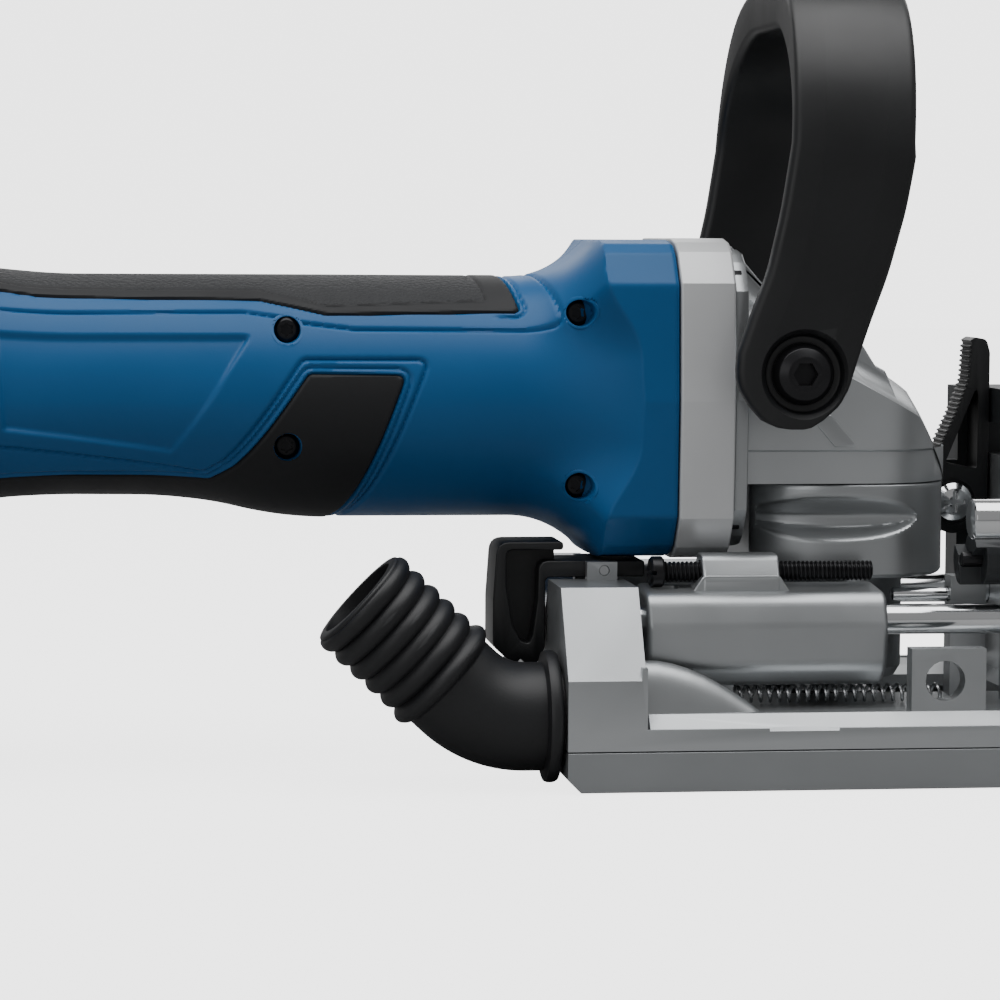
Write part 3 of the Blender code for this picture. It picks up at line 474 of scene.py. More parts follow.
TOP_GRIP = rounded([(GRIP_END - 1, FAR_UP),
                    *unroll([(GRIP_END, 113.6), (-199, 111), (-189.6, 109.7), (-139.2, 108.9),
                    (-123.6, 105.6), (-78.9, 106.3)]), (-82.6, TOP_LINE), (-83.5, FAR_UP)], 1.6, 5)
TOP_TEXTURE = rounded([(GRIP_END + 2, FAR_UP), *unroll([(GRIP_END + 3, 115.0), (-199, 112.9), (-192.6, 111.8),
                       (-139.2, 111.1), (-123.6, 107.4), (-86.3, 108.7)]), (-89.5, TOP_LINE),
                       (-90.5, FAR_UP)], 1.6, 5)
LOWER_GRIP = rounded([(GRIP_END, FAR_DOWN),
                      *unroll([(GRIP_END, 68.4), (-198.9, 67.9), (-150.5, 67.7), (-144.8, 71.0),
                      (-128.2, 92.4), (-105.9, 92.1), (-121.4, 58.9)]), (-123.5, -TOP_LINE),
                      (-124, FAR_DOWN)], 1.8, 5)
UPPER_GROOVE = rounded([*unroll([(GRIP_END - 4, 107.4), (-198.9, 106.7), (-142.9, 106.3), (-135, 105.2),
                        (-129.4, 103.8), (-117.5, 102.4), (-69.6, 102.1), (-74.2, 114.0)]),
                        (-76, TOP_LINE), (-77, FAR_UP)], 1.8, 5, closed=False)
LOWER_GROOVE = rounded([*unroll([(GRIP_END - 4, 77.6), (-198.8, 75.7), (-152, 69.4), (-147.3, 72.2),
                                 (-129.6, 95.6),
                        (-100.6, 95.6), (-119.4, 58.6)]), (-120.5, -TOP_LINE), (-121, FAR_DOWN)], 2.2, 5,
                        closed=False)
PANEL = rounded(unroll([(-199.5, 102.0), (-140.4, 101.4), (-159.1, 73.9), (-197.5, 79.2)]), 1.6, 5)


def distance_to(line, x, s, closed=True):
    """Distance to an outline, positive inside it when it is closed."""
    pairs = list(zip(line, np.roll(line, -1, axis=0))) if closed else list(zip(line, line[1:]))
    nearest = np.full(np.shape(x), 1e9)
    inside = np.zeros(np.shape(x), bool)
    for (ax, ay), (bx, by) in pairs:
        length = (bx - ax) ** 2 + (by - ay) ** 2
        if length < 1e-12:
            continue
        t = np.clip(((x - ax) * (bx - ax) + (s - ay) * (by - ay)) / length, 0, 1)
        nearest = np.minimum(nearest, np.hypot(x - ax - t * (bx - ax), s - ay - t * (by - ay)))
        if closed and abs(by - ay) > 1e-12:
            crosses = ((ay > s) != (by > s)) & (x < (bx - ax) * (s - ay) / (by - ay) + ax)
            inside ^= crosses
    if closed:
        return np.where(inside, nearest, -nearest)
    return nearest


def groove(distance, depth=0.75, width=0.42):
    """Depth of a moulded groove at a distance from its line."""
    return -depth * np.exp(-(distance / width) ** 2)


def open_grid(points, keep=None):
    """Vertices and faces of a sheet of points, with the cells that are kept."""
    rows, count = points.shape[:2]
    index = np.arange(rows * count).reshape(rows, count)
    faces = np.stack((index[:-1, :-1], index[1:, :-1], index[1:, 1:], index[:-1, 1:]), axis=-1)
    if keep is None:
        return points.reshape(-1, 3), faces.reshape(-1, 4).tolist()
    kept = faces[keep]
    used, compact = np.unique(kept, return_inverse=True)
    return points.reshape(-1, 3)[used], compact.reshape(-1, 4).tolist()


def screw_wells():
    """Centres of the screw holes in the right side, from the CAD screws."""
    found = []
    for place in ("rear", "front"):
        for level in ("upper", "lower"):
            found.append(middle(f"housing_screw_{place}_{level}"))
    return found


WELL_RADIUS = 3.25
WELL_DEPTH = 6.5


def snap_wells(points, depth):
    """Shape round screw wells into a sheet of points: crisp rims and straight walls."""
    band = 0.34
    for x, _, z in screw_wells():
        dx, dz = points[..., 0] - x, points[..., 2] - z
        far = np.hypot(dx, dz) + 1e-9
        near_side = points[..., 1] < 0
        wanted = np.where(far < WELL_RADIUS, WELL_RADIUS - 0.03, WELL_RADIUS + 0.06)
        snap = near_side & (np.abs(far - WELL_RADIUS) < band)
        scale = np.where(snap, wanted / far, 1.0)
        sunk = near_side & (far < WELL_RADIUS)
        points[..., 0] = x + dx * scale
        points[..., 2] = z + dz * scale
        points[..., 1] = np.where(sunk, points[..., 1] + depth, points[..., 1])
    return points


def well_linings(sheet):
    """A clean wall and a fine lip round each screw well, following the surface it opens in."""
    made = []
    turns = np.arange(72) * math.tau / 72
    rows = ((0.62, 0.15), (0.46, -0.03), (0.05, -0.05), (-0.16, 0.06), (-0.2, 0.3), (-0.2, WELL_DEPTH))
    for x, _, z in screw_wells():
        dx, dz = sheet[:, 0] - x, sheet[:, 2] - z
        far = np.hypot(dx, dz)
        near = (far > WELL_RADIUS - 0.6) & (far < WELL_RADIUS + 1.3) & (sheet[:, 1] < 0)
        spread = np.unique(np.floor(np.arctan2(dz[near], dx[near]) * 12 / math.tau))
        if len(spread) < 12:
            continue

        def terms(u, v):
            return np.stack((np.ones_like(u), u, v, u * u, u * v, v * v, u ** 3, v ** 3), axis=-1)

        fit = np.linalg.lstsq(terms(dx[near], dz[near]), sheet[near, 1], rcond=None)[0]
        rings = []
        for wider, sink in rows:
            u, v = (WELL_RADIUS + wider) * np.cos(turns), (WELL_RADIUS + wider) * np.sin(turns)
            rings.append(np.stack((x + u, terms(u, v) @ fit + sink, z + v), axis=-1))
        made.append(skin(rings, caps=False))
    return made


def in_wells(points):
    """True where a cell's middle lies in a screw well."""
    centre = (points[:-1, :-1] + points[1:, 1:]) / 2
    hit = np.zeros(centre.shape[:2], bool)
    for x, _, z in screw_wells():
        hit |= (np.hypot(centre[..., 0] - x, centre[..., 2] - z) < WELL_RADIUS) & (centre[..., 1] < 0)
    return hit


def housing_half(name, side):
    """One moulded half of the housing with its grooves, seats for the grips and screw wells."""
    step = 0.42
    x_line = np.arange(HOUSING_REAR, COLLAR_FRONT + step / 2, step)
    half_gap = math.radians(0.25)
    angles = np.linspace(-math.pi / 2 + half_gap, math.pi / 2 - half_gap, 210)
    x, angle = np.meshgrid(x_line, angles, indexing="ij")
    s = GRIP_RADIUS * angle
    top, low = distance_to(TOP_GRIP, x, s), distance_to(LOWER_GRIP, x, s)
    depth = groove(distance_to(UPPER_GROOVE, x, s, False)) + groove(distance_to(LOWER_GROOVE, x, s, False))
    depth += groove(low + 1.5, 0.6, 0.36)
    depth += groove(top + 1.5, 0.6, 0.36) * smoothstep(-86, -83, x)
    panel = distance_to(PANEL, x, s)
    fade = 1 - 0.75 * smoothstep(-172, -142, x) * smoothstep(12, -4, s)
    depth -= 1.1 * smoothstep(-0.1, 1.5, panel) * fade
    depth -= 1.3 * smoothstep(-0.4, 0.3, np.maximum(top, low))
    if side < 0:
        track = distance_to(rounded([(-105, -7.2), (-76, -7.2), (-76, 7.2), (-105, 7.2)], 3.0, 5), x, s)
        depth -= 1.0 * smoothstep(0.0, 0.9, track)
    rim = 0.5 * smoothstep(COLLAR_FRONT - 0.8, COLLAR_FRONT, x)
    points = housing_point(x, angle, depth - rim)
    linings = []
    if side > 0:
        linings = well_linings(points.reshape(-1, 3))
        points = snap_wells(points, WELL_DEPTH)
    points[..., 1] *= side
    points = thicken(points)
    if side < 0:
        points = points[::-1]
    shape = open_grid(points)
    return piece(name, [shape, *linings], "blue", "motor_unit", [name], solid=False, sharp=40)


def thicken(points):
    """Add rims that turn 2.5 mm inwards round the edges of a sheet."""
    axis = np.array((0.0, 0.0, MOTOR_Z))
    inward = axis - points
    inward[..., 0] = 0
    inward /= np.linalg.norm(inward, axis=-1)[..., None] + 1e-9
    wall = 2.5
    points = np.concatenate((points[:1] + inward[:1] * wall, points, points[-1:] + inward[-1:] * wall),
                            axis=0)
    inward = np.concatenate((inward[:1], inward, inward[-1:]), axis=0)
    return np.concatenate((points[:, :1] + inward[:, :1] * wall, points,
                           points[:, -1:] + inward[:, -1:] * wall),
                          axis=1)


def soft_grip(name, outline, angles, x_range, texture=None):
    """A rubber overmould: proud of the shell, with an edge that dips into its seat."""
    step = 0.42
    x, angle = np.meshgrid(np.arange(*x_range, step), angles, indexing="ij")
    s = GRIP_RADIUS * np.arcsin(np.clip(np.sin(angle), -1, 1))
    inside = distance_to(outline, x, s)
    height = 0.22 - 1.5 * smoothstep(0.55, -0.45, inside)
    if texture is not None:
        patch = distance_to(texture, x, s)
        height += groove(patch, 0.35, 0.3) - 0.08 * smoothstep(0.0, 0.5, patch)
    points = housing_point(x, angle, height)
    points = snap_wells(points, 0.0)
    keep = (inside[:-1, :-1] > -0.7) & (inside[1:, 1:] > -0.7) & ~in_wells(points)
    made = piece(name, [open_grid(points, keep)], "rubber", "motor_unit", [name], solid=False)
    if texture is not None:
        made.data.materials.append(LOOKS["pimples"])
        cell = (patch[:-1, :-1] + patch[1:, 1:])[keep] / 2
        made.data.polygons.foreach_set("material_index", (cell > 0.35).astype(np.int32))
    return made


def motor_housing():
    """Both shells, their soft grips, and the screws in their wells."""
    housing_half("housing_right", 1)
    housing_half("housing_left", -1)
    turn = math.radians
    soft_grip("top_soft_grip", TOP_GRIP, np.arange(turn(36), turn(144.01), turn(0.9)), (GRIP_END - 2, -75),
              TOP_TEXTURE)
    soft_grip("lower_soft_grip", LOWER_GRIP, np.arange(turn(-198), turn(18.01), turn(0.9)),
              (GRIP_END - 2, -102))
    for x, _, z in screw_wells():
        nearest = min(("rear", "front"), key=lambda p: abs(middle(f"housing_screw_{p}_upper")[0] - x))
        level = "upper" if z > MOTOR_Z else "lower"
        node = f"housing_screw_{nearest}_{level}"
        low, high = cad(node)
        head = turned([(low[1] + 1.2, 0.02), (low[1] + 1.2, 2.2), (low[1] + 1.8, 3.0), (low[1] + 2.6, 3.0),
                       (high[1], 1.6)],
                      "Y", (x, z), 32)
        star = slab(rounded([(x + r * math.cos(a), z + r * math.sin(a)) for a, r in
                             ((k * math.pi / 6, 1.7 if k % 2 else 1.25) for k in range(12))], 0.2, 2),
                    "Y", low[1] - 1, low[1] + 2.0, 0.05, 1)
        piece(node + "_head", [head], "black_steel", "motor_unit", [node], cuts=[star])


# ---------------------------------------------------------------- gear head

def gear_head():
    """The painted flange with its screws, and both castings."""
    flange = slab(rounded(head_outline(HEAD_HALF, MOTOR_Z), 0.9, 2), "X", FLANGE_REAR, FLANGE_FRONT, 0.55, 3)
    bore = turned([(FLANGE_REAR - 2, 11.2), (FLANGE_FRONT + 2, 11.2)], "X", (0, MOTOR_Z))
    piece("gear_flange", [flange], "flange", "motor_unit", ["gear_flange"], cuts=[bore],
          sharp=12)
    corner = 0.735 * HEAD_HALF
    for side in (-1, 1):
        for level in (-1, 1):
            where = (side * corner, MOTOR_Z + level * corner)
            head = turned([(FLANGE_FRONT - 0.2, 3.3), (FLANGE_FRONT + 2.2, 3.3), (FLANGE_FRONT + 3.1, 2.6),
                           (FLANGE_FRONT + 3.2, 0.02)], "X", where, 32, 0.5)
            key = slab(rounded(circle(where, 1.5, 6), 0.1, 1), "X", FLANGE_FRONT + 1.4, FLANGE_FRONT + 5,
                       0.05, 1)
            piece(f"flange_screw_{'right' if side < 0 else 'left'}_{'upper' if level > 0 else 'lower'}",
                  [head], "black_steel", "motor_unit", cuts=[key])
    upper_casting()
    lower_casting()


NOSE_POWER = 2.3


def upper_casting():
    """The hood over the bevel gears: wide shoulders with a rounded nose, and a narrow stepped roof."""
    rear, front = FLANGE_FRONT + 0.3, cad("gear_casting_upper")[1][0]
    low, ledge, half = SEAM_Z + 0.3, 74.4, 29.6
    rings = []
    for x in np.concatenate((np.linspace(rear, 0.0, 8), front * np.sin(np.linspace(0.06, 1.52, 22)))):
        nose = (1 - (x / (front + 0.2)) ** NOSE_POWER) ** (1 / NOSE_POWER) if x > 0 else 1.0
        wide = max(half * nose, 3.0)
        shoulder = min(107.5 - 0.536 * (x - rear), 83.4 - 1.6 * max(0.0, x - 14.0) if x > 14 else 200.0)
        crest = shoulder + 0.35 * max(0.0, wide - 13.0)
        inner = min(13.0, wide * 0.5)
        rings.append(along("X", *np.array([
            (-wide, low), (-wide, ledge), (-wide - 0.6, ledge + 0.5), (-wide - 0.6, shoulder - 1.0),
            (-wide + 0.4, shoulder), (-inner, crest), (inner, crest), (wide - 0.4, shoulder),
            (wide + 0.6, shoulder - 1.0), (wide + 0.6, ledge + 0.5), (wide, ledge), (wide, low)]).T, x))
    roof = rounded([(rear + 0.2, 80.0), (rear + 0.2, 121.8), (-28.4, 121.8), (-19.0, 110.9), (3.2, 98.9),
                    (6.4, 93.9), (8.8, 92.6), (12.6, 85.4), (14.5, 80.0)], 0.9, 3)
    back = slab(rounded(head_outline(HEAD_HALF * 0.93, MOTOR_Z), 1.0, 3), "X", rear, rear + 3.2, 0.5)
    boss_low, boss_high = cad("gear_casting_upper")[0][1], cad("gear_casting_upper")[1][1]
    boss = turned([(boss_low + 0.2, 0.02), (boss_low + 0.2, 11.6), (boss_high - 0.2, 11.6),
                   (boss_high - 0.2, 0.02)],
                  "Y", (HANDLE_X, HANDLE_Z), 64, 0.6)
    made = [slab(roof, "Y", -13.5, 13.5, 0.8), back, boss]
    for side in (-1, 1):
        strip = rounded([(-13.2, 83.0), (-7.9, 83.0), (-1.4, 75.6), (-6.9, 75.6)], 0.6, 3)
        made.append(slab(strip, "Y", *sorted((side * 25.0, side * 30.8)), 0.3))
        shelf = rounded([(rear + 0.1, 107.6), (-24.0, 104.4), (-24.0, 101.6), (rear + 0.1, 104.0)], 0.6, 3)
        made.append(slab(shelf, "Y", *sorted((side * 20.0, side * 30.9)), 0.4))
    piece("gear_casting_upper", [skin(rings)], "cast", "motor_unit", ["gear_casting_upper"],
          joined=made, bevel=0.3, sharp=24)


def lower_casting():
    """The casting under the seam, with a scooped hold on each side and the spindle's neck."""
    half_x, half_y = 24.4, 30.0
    low, high = 45.0, SEAM_Z
    count = 240
    plan = superellipse(half_x, half_y, NOSE_POWER, count)
    plan[:, 0] = np.where(plan[:, 0] < 0, np.clip(1.18 * plan[:, 0], -half_x, 0), plan[:, 0])
    normal = plan / np.linalg.norm(plan, axis=1)[:, None]
    rings = []
    levels = np.concatenate(([low, low + 0.3, low + 0.9], np.linspace(low + 1.4, high - 0.9, 44),
                             [high - 0.3, high]))
    for z in levels:
        pull = 0.8 * (1 - min(1.0, (z - low) / 0.9)) ** 2 + 0.5 * (1 - min(1.0, (high - z) / 0.6)) ** 2
        x = plan[:, 0]
        span = np.clip(1 - ((x + 6.0) / 19.5) ** 2, 0, 1)
        upper, lower = 59.2 + 5.6 * np.sqrt(span), 59.2 - 5.9 * np.sqrt(span)
        t = np.clip((z - lower) / np.maximum(upper - lower, 0.1), 0, 1)
        hollow = 4.6 * np.sqrt(span) * smoothstep(0.0, 0.34, t) * (1 - smoothstep(0.5, 1.0, t))
        hollow = np.where(np.abs(plan[:, 1]) > 20, hollow, 0.0)
        ring = plan - normal * pull
        ring[:, 1] -= np.sign(plan[:, 1]) * hollow
        rings.append(along("Z", *ring.T, z))
    neck = turned([(19.7, 14.6), (22.0, 16.0), (46.0, 16.0)], "Z", (0, 0), 64, 0.6)
    bore = turned([(10.0, 7.0), (30.0, 7.0)], "Z", (0, 0))
    piece("gear_casting_lower", [skin(rings)], "cast", "motor_unit", ["gear_casting_lower"],
          joined=[neck], cuts=[bore], sharp=30)


# ---------------------------------------------------------------- slide

def slide_sleeves():
    """The two carriages that run on the guide rods."""
    for side_name, sign in (("right", -1), ("left", 1)):
        low, high = cad(f"slide_sleeve_{side_name}")
        y = sign * ROD_Y
        outline = [(y + sign * a, z, r) for a, z, r in (
            (10.9, 36.0, 6.0), (8.6, 43.2, 5.0), (-6.0, 44.4, 3.0), (-10.7, 43.2, 2.4),
            (-10.8, 30.0, 4.0), (-7.0, 21.9, 5.0), (5.0, 21.6, 5.0), (10.0, 26.5, 6.0))]
        body = slab(rounded(outline, 3.0, 7), "X", low[0], high[0], 1.4, 5)
        boss_low, boss_high = sorted((y - sign * 5.4, y + sign * 5.0))
        joined, cuts = [], []
        if side_name == "right":
            crown = rounded([(boss_low, 38.0), (boss_low, 46.0, 3.0), (boss_low + 2.6, 51.6, 2.6),
                             (boss_high - 1.2, 51.6, 1.6), (boss_high, 50.0, 1.2), (boss_high, 38.0)], 0.8, 5)
            joined = [slab(crown, "X", -39.3, -21.5, 0.55, 3)]
            foot = rounded([(-42.2, 42.6), (-39.2, 47.0, 2.0), (-21.6, 47.0, 2.0), (-18.6, 42.6),
                            (-21.0, 38.6, 1.5), (-39.8, 38.6, 1.5)], 0.7, 4)
            joined.append(slab(foot, "Y", boss_low + 0.2, boss_high - 4.0, 0.4))
            cuts.append(turned([(-60.0, 2.7), (10.0, 2.7)], "X", (y, STOP_Z), 32))
        pocket = rounded([(-50.6, y - 2.2), (-44.2, y - 2.2), (-44.2, y + 2.2), (-50.6, y + 2.2)], 1.6, 4)
        cuts.append(slab(pocket, "Z", 41.8, 46.0, 0.3))
        cuts.append(turned([(low[0] - 5, 3.7), (high[0] + 5, 3.7)], "X", (y, ROD_Z), 40))
        lug = box((-36.0, y - 3.0, low[2]), (-31.6, y + 3.0, 24.0), 0.4, 0.6)
        piece(f"slide_sleeve_{side_name}", [body], "cast", "motor_unit",
              [f"slide_sleeve_{side_name}"], joined=joined + [lug], cuts=cuts, sharp=30)


def rods_and_springs():
    """Polished guide rods and the two coiled return springs."""
    for side in ("right", "left"):
        low, high = cad(f"guide_rod_{side}")
        y, z = (low[1] + high[1]) / 2, (low[2] + high[2]) / 2
        radius = (high[2] - low[2]) / 2
        rod = turned([(low[0], 0.02), (low[0], radius - 0.8), (low[0] + 0.8, radius), (high[0] - 0.8, radius),
                      (high[0], radius - 0.8), (high[0], 0.02)], "X", (y, z), 72, 0.15)
        piece(f"guide_rod_{side}", [rod], "chrome", "base", [f"guide_rod_{side}"])
        low, high = cad(f"return_spring_{side}")
        y, z = (low[1] + high[1]) / 2, (low[2] + high[2]) / 2
        spring = piece(f"return_spring_{side}", [coil(low[0] + 0.5, high[0] - 0.5, (y, z), 1.75, 0.42, 22)],
                       "steel", "base", [f"return_spring_{side}"])
        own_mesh(spring)


def depth_stop():
    """The depth screw and its lock nut."""
    low, high = cad("depth_screw")
    y, z = (low[1] + high[1]) / 2, STOP_Z
    head = turned([(low[0], 0.02), (low[0], 3.0), (low[0] + 0.5, 3.6), (low[0] + 2.7, 3.6),
                   (low[0] + 3.2, 3.1), (low[0] + 3.3, 2.0)], "X", (y, z), 40, 0.2)
    slot = slab([(low[0] - 1, z - 0.5), (low[0] + 1.2, z - 0.5), (low[0] + 1.2, z + 0.5),
                 (low[0] - 1, z + 0.5)],
                "Y", y - 5, y + 5, 0.02, 1)
    shaft = thread(low[0] + 2.9, high[0], (y, z), 2.4, 1.0, 0.55)
    piece("depth_screw", [head], "black_steel", "stop_screw", ["depth_screw"], cuts=[slot],
          joined=[shaft], sharp=50)
    low, high = cad("lock_nut")
    nut = slab(rounded(circle((y, z), 4.1, 6), 0.25, 3), "X", low[0], high[0], 0.45, 3)
    hole = turned([(low[0] - 2, 2.6), (high[0] + 2, 2.6)], "X", (y, z), 32)
    piece("lock_nut", [nut], "black_steel", "motor_unit", ["lock_nut"], cuts=[hole])


# ---------------------------------------------------------------- handle

ARM_OUTER = 49.9
HANDLE_TOP = 178.0
BEND = 36.0
ARM_Z = (80.4, 81.0, 82.6, 86.0, 90.0, 93.2, 97.7, 103.5, 110.1, 115.5, 130.1, 142.9, 150.0)
ARM_REAR = (-19.5, -24.0, -27.6, -30.6, -33.0, -33.6, -33.3, -31.3, -28.9, -26.7, -23.4, -21.4, -20.6)
ARM_FRONT = (-19.5, -16.4, -13.6, -9.8, -7.6, -6.7, -5.3, -3.4, -1.0, 1.0, 5.0, 7.3, 7.6)


def strip_section(x, half_width, y, z, tilt, thick):
    """A rounded strip across the bow: slightly domed outside, with soft rims."""
    normal = np.array((0.0, -math.cos(tilt), math.sin(tilt)))
    corner = min(2.0, half_width * 0.6)
    outline = rounded([(-half_width, -thick, corner), (half_width, -thick, corner),
                       (half_width, thick, corner),
                       (0.5 * half_width, thick + 0.5, 6.0), (-0.5 * half_width, thick + 0.5, 6.0),
                       (-half_width, thick, corner)], corner, 4)
    return np.array([np.array((x + a, y, z)) + normal * b for a, b in outline])


def bow_handle():
    """The bow handle with a screw in each arm."""
    thick, arm_y = 2.6, 47.2
    half = []
    low_z = cad("bow_handle")[0][2]
    heights = low_z + (142.0 - low_z) * (1 - np.cos(np.linspace(0.10, math.pi / 2, 34))) ** 1.0
    for z in heights:
        rear, front = np.interp(z, ARM_Z, ARM_REAR), np.interp(z, ARM_Z, ARM_FRONT)
        if z > 98:
            rear, front = smooth_line(z, ARM_Z, ARM_REAR, 3.0), smooth_line(z, ARM_Z, ARM_FRONT, 3.0)
        half.append(strip_section((rear + front) / 2, max((front - rear) / 2, 0.8), -arm_y, z, 0.0, thick))
    steps = 18
    last_x = float(smooth_line(142.0, ARM_Z, ARM_REAR, 3.0) + smooth_line(142.0, ARM_Z, ARM_FRONT, 3.0)) / 2
    for i in range(1, steps + 1):
        tilt = math.pi / 2 * i / steps
        y = -arm_y + BEND * (1 - math.cos(tilt))
        z = HANDLE_TOP - BEND + BEND * math.sin(tilt)
        fat = thick + 3.0 * smoothstep(0.1, 0.75, i / steps)
        half.append(strip_section(last_x + 3.0 * i / steps, 14.0, y, z, tilt, float(fat)))
    mirrored = [ring * np.array((1.0, -1.0, 1.0)) for ring in half[::-1]]
    bow = skin(half + mirrored)
    cuts = []
    for side in (-1, 1):
        profile = [(side * (ARM_OUTER - 3.0), 0.02), (side * (ARM_OUTER - 3.0), 8.7),
                   (side * (ARM_OUTER - 1.0), 9.1), (side * (ARM_OUTER + 0.4), 10.2),
                   (side * (ARM_OUTER + 6), 14.0)]
        cuts.append(turned(profile, "Y", (HANDLE_X, HANDLE_Z), 72, 0.7))
        cuts.append(turned([(side * 38.0, 4.2), (side * 55.0, 4.2)], "Y", (HANDLE_X, HANDLE_Z), 32))
    piece("bow_handle", [bow], "black", "motor_unit", ["bow_handle"], cuts=cuts, sharp=40)
    for side_name, side in (("right", -1), ("left", 1)):
        seat = ARM_OUTER - 2.9
        screw = turned([(side * 32.0, 3.9), (side * seat, 3.9), (side * seat, 7.0),
                        (side * (seat + 0.8), 7.1),
                        (side * (seat + 2.6), 5.9), (side * (seat + 3.5), 3.9), (side * (seat + 3.6), 0.02)],
                       "Y", (HANDLE_X, HANDLE_Z), 64, 0.8)
        key = slab(rounded(circle((HANDLE_X, HANDLE_Z), 2.9, 6), 0.15, 2), "Y",
                   *sorted((side * (seat + 1.3), side * (seat + 8))), 0.1, 1)
        piece(f"handle_screw_{side_name}", [screw], "black_steel", "motor_unit",
              [f"handle_screw_{side_name}"], cuts=[key])


# ---------------------------------------------------------------- base details

def dust_elbow():
    """A rubber elbow: collar against the base, smooth bend, and a ribbed mouth."""
    y, z = -43.0, 15.5
    mouth_angle = math.radians(43)
    bend_radius = 22.0
    bend_start = -80.5
    path, facing, along_path = [], [], []

    def add(point, angle, place):
        path.append(point)
        facing.append(angle)
        along_path.append(place)

    for x in np.linspace(-59.5, bend_start, 40):
        add((x, z), 0.0, -59.5 - x)
    at = along_path[-1]
    for angle in np.linspace(0, mouth_angle, 30)[1:]:
        add((bend_start - bend_radius * math.sin(angle), z + bend_radius * (1 - math.cos(angle))), angle,
            at + bend_radius * angle)
    at = along_path[-1]
    end = path[-1]
    reach = 31.4
    for t in np.linspace(0, reach, 150)[1:]:
        add((end[0] - t * math.cos(mouth_angle), end[1] + t * math.sin(mouth_angle)), mouth_angle, at + t)
    ribs_from = at + 3.5
    rib_pitch = (along_path[-1] - ribs_from) / 6
    rings_out, rings_in = [], []
    circle_angles = np.arange(56) * math.tau / 56
    for (x, height), angle, place in zip(path, facing, along_path):
        reach_out = 12.3
        if 13.7 <= place <= 17.2:
            reach_out = 15.0 - 0.8 * abs((place - 15.45) / 1.75) ** 3
        elif place < 13.7:
            reach_out = 11.2
        if place > ribs_from:
            phase = (place - ribs_from) / rib_pitch
            rib = abs(math.sin(math.pi * phase)) ** 0.7
            first = 1.0 if phase < 1 else 0.0
            reach_out = 12.1 + (1.5 + 0.7 * first) * rib
        if place > along_path[-1] - 0.9:
            reach_out = min(reach_out, 12.6)
        up = np.array((math.sin(angle), 0.0, math.cos(angle)))
        side = np.array((0.0, 1.0, 0.0))
        centre = np.array((x, y, height))
        ring = centre + np.outer(np.cos(circle_angles), side) + np.outer(np.sin(circle_angles), up)
        unit = ring - centre
        rings_out.append(centre + unit * reach_out)
        rings_in.append(centre + unit * (9.6 if place < 20 else 10.3))
    shape = skin(rings_out + rings_in[::-1], caps=False)
    rows, count = len(rings_out) * 2, 56
    last = np.arange((rows - 1) * count, rows * count)
    first = np.arange(count)
    close = np.stack((last, np.roll(last, -1), np.roll(first, -1), first), axis=-1).tolist()
    piece("dust_elbow", [(shape[0], shape[1] + close)], "elbow", "elbow", ["dust_elbow"],
          sharp=50)


def rear_lever():
    """One strip: an arm to the pivot, then a deep U behind the base that turns over at the top."""
    low, high = cad("rear_lock_lever")
    arm_top, arm_low = 49.0, 45.2
    wall_x, foot_z, crown_z = -73.2, low[2] + 0.1, 53.4
    rear = low[0] + 0.2
    outside = [(rear + 0.9, crown_z, 3.2), (rear, 40.0, 8.0), (rear, 29.6, 2.0), (-82.4, foot_z + 1.2, 3.0),
               (-79.6, foot_z), (-78.8, foot_z + 1.2, 0.6), (-78.0, foot_z), (-74.8, foot_z, 1.6),
               (wall_x, 29.0, 3.0), (wall_x, arm_low, 1.5), (-50.0, arm_low)]
    inside = [(-50.0, arm_top), (-74.8, arm_top, 2.6), (-75.0, 40.0, 3.0), (-76.2, 31.6, 1.5), (-77.0, 29.8),
              (-78.8, 30.4, 1.5), (-80.8, 34.0, 4.0), (-82.2, 43.0, 6.0), (-82.3, 51.5, 1.6), (-69.0, 51.5),
              (-69.0, crown_z)]
    body = slab(rounded(inside + outside, 0.8, 5), "Y", low[1], high[1], 0.4)
    web = [(-70.4, crown_z - 0.7), (rear + 2.0, crown_z - 0.7), (rear + 0.7, 40.0), (rear + 0.7, 30.0),
           (-82.0, foot_z + 1.6), (-76.0, foot_z + 1.6), (wall_x - 0.9, 29.4), (wall_x - 0.9, arm_low + 0.7),
           (-70.4, arm_low + 0.7)]
    back = slab(rounded(web, 0.6, 3), "Y", low[1] + 6.0, high[1] - 0.3, 0.15, 1)
    pivot = middle("lock_lever_pin")
    barrel = turned([(low[1] + 0.2, 2.2), (high[1] - 0.2, 2.2)], "Y", (pivot[0], pivot[2]), 32)
    piece("rear_lock_lever", [body], "black", "lock_lever", ["rear_lock_lever"],
          joined=[back, barrel], sharp=35)


def recast(node, finish, body, joined=(), trims=(), bevel=0.4):
    """A CAD solid taken over as a clean shape, trimmed and joined, with its edges rounded."""
    work = bmesh.new()
    work.from_mesh(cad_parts[node].data)
    bmesh.ops.remove_doubles(work, verts=work.verts, dist=0.02 * MM)
    bmesh.ops.dissolve_limit(work, angle_limit=math.radians(0.4), verts=work.verts, edges=work.edges)
    points = [np.array(vertex.co) / MM for vertex in work.verts]
    work.verts.index_update()
    faces = [[vertex.index for vertex in face.verts] for face in work.faces]
    work.free()
    return piece(node, [(np.array(points), faces)], finish, body, [node], joined=joined, trims=trims,
                 bevel=bevel, sharp=30)


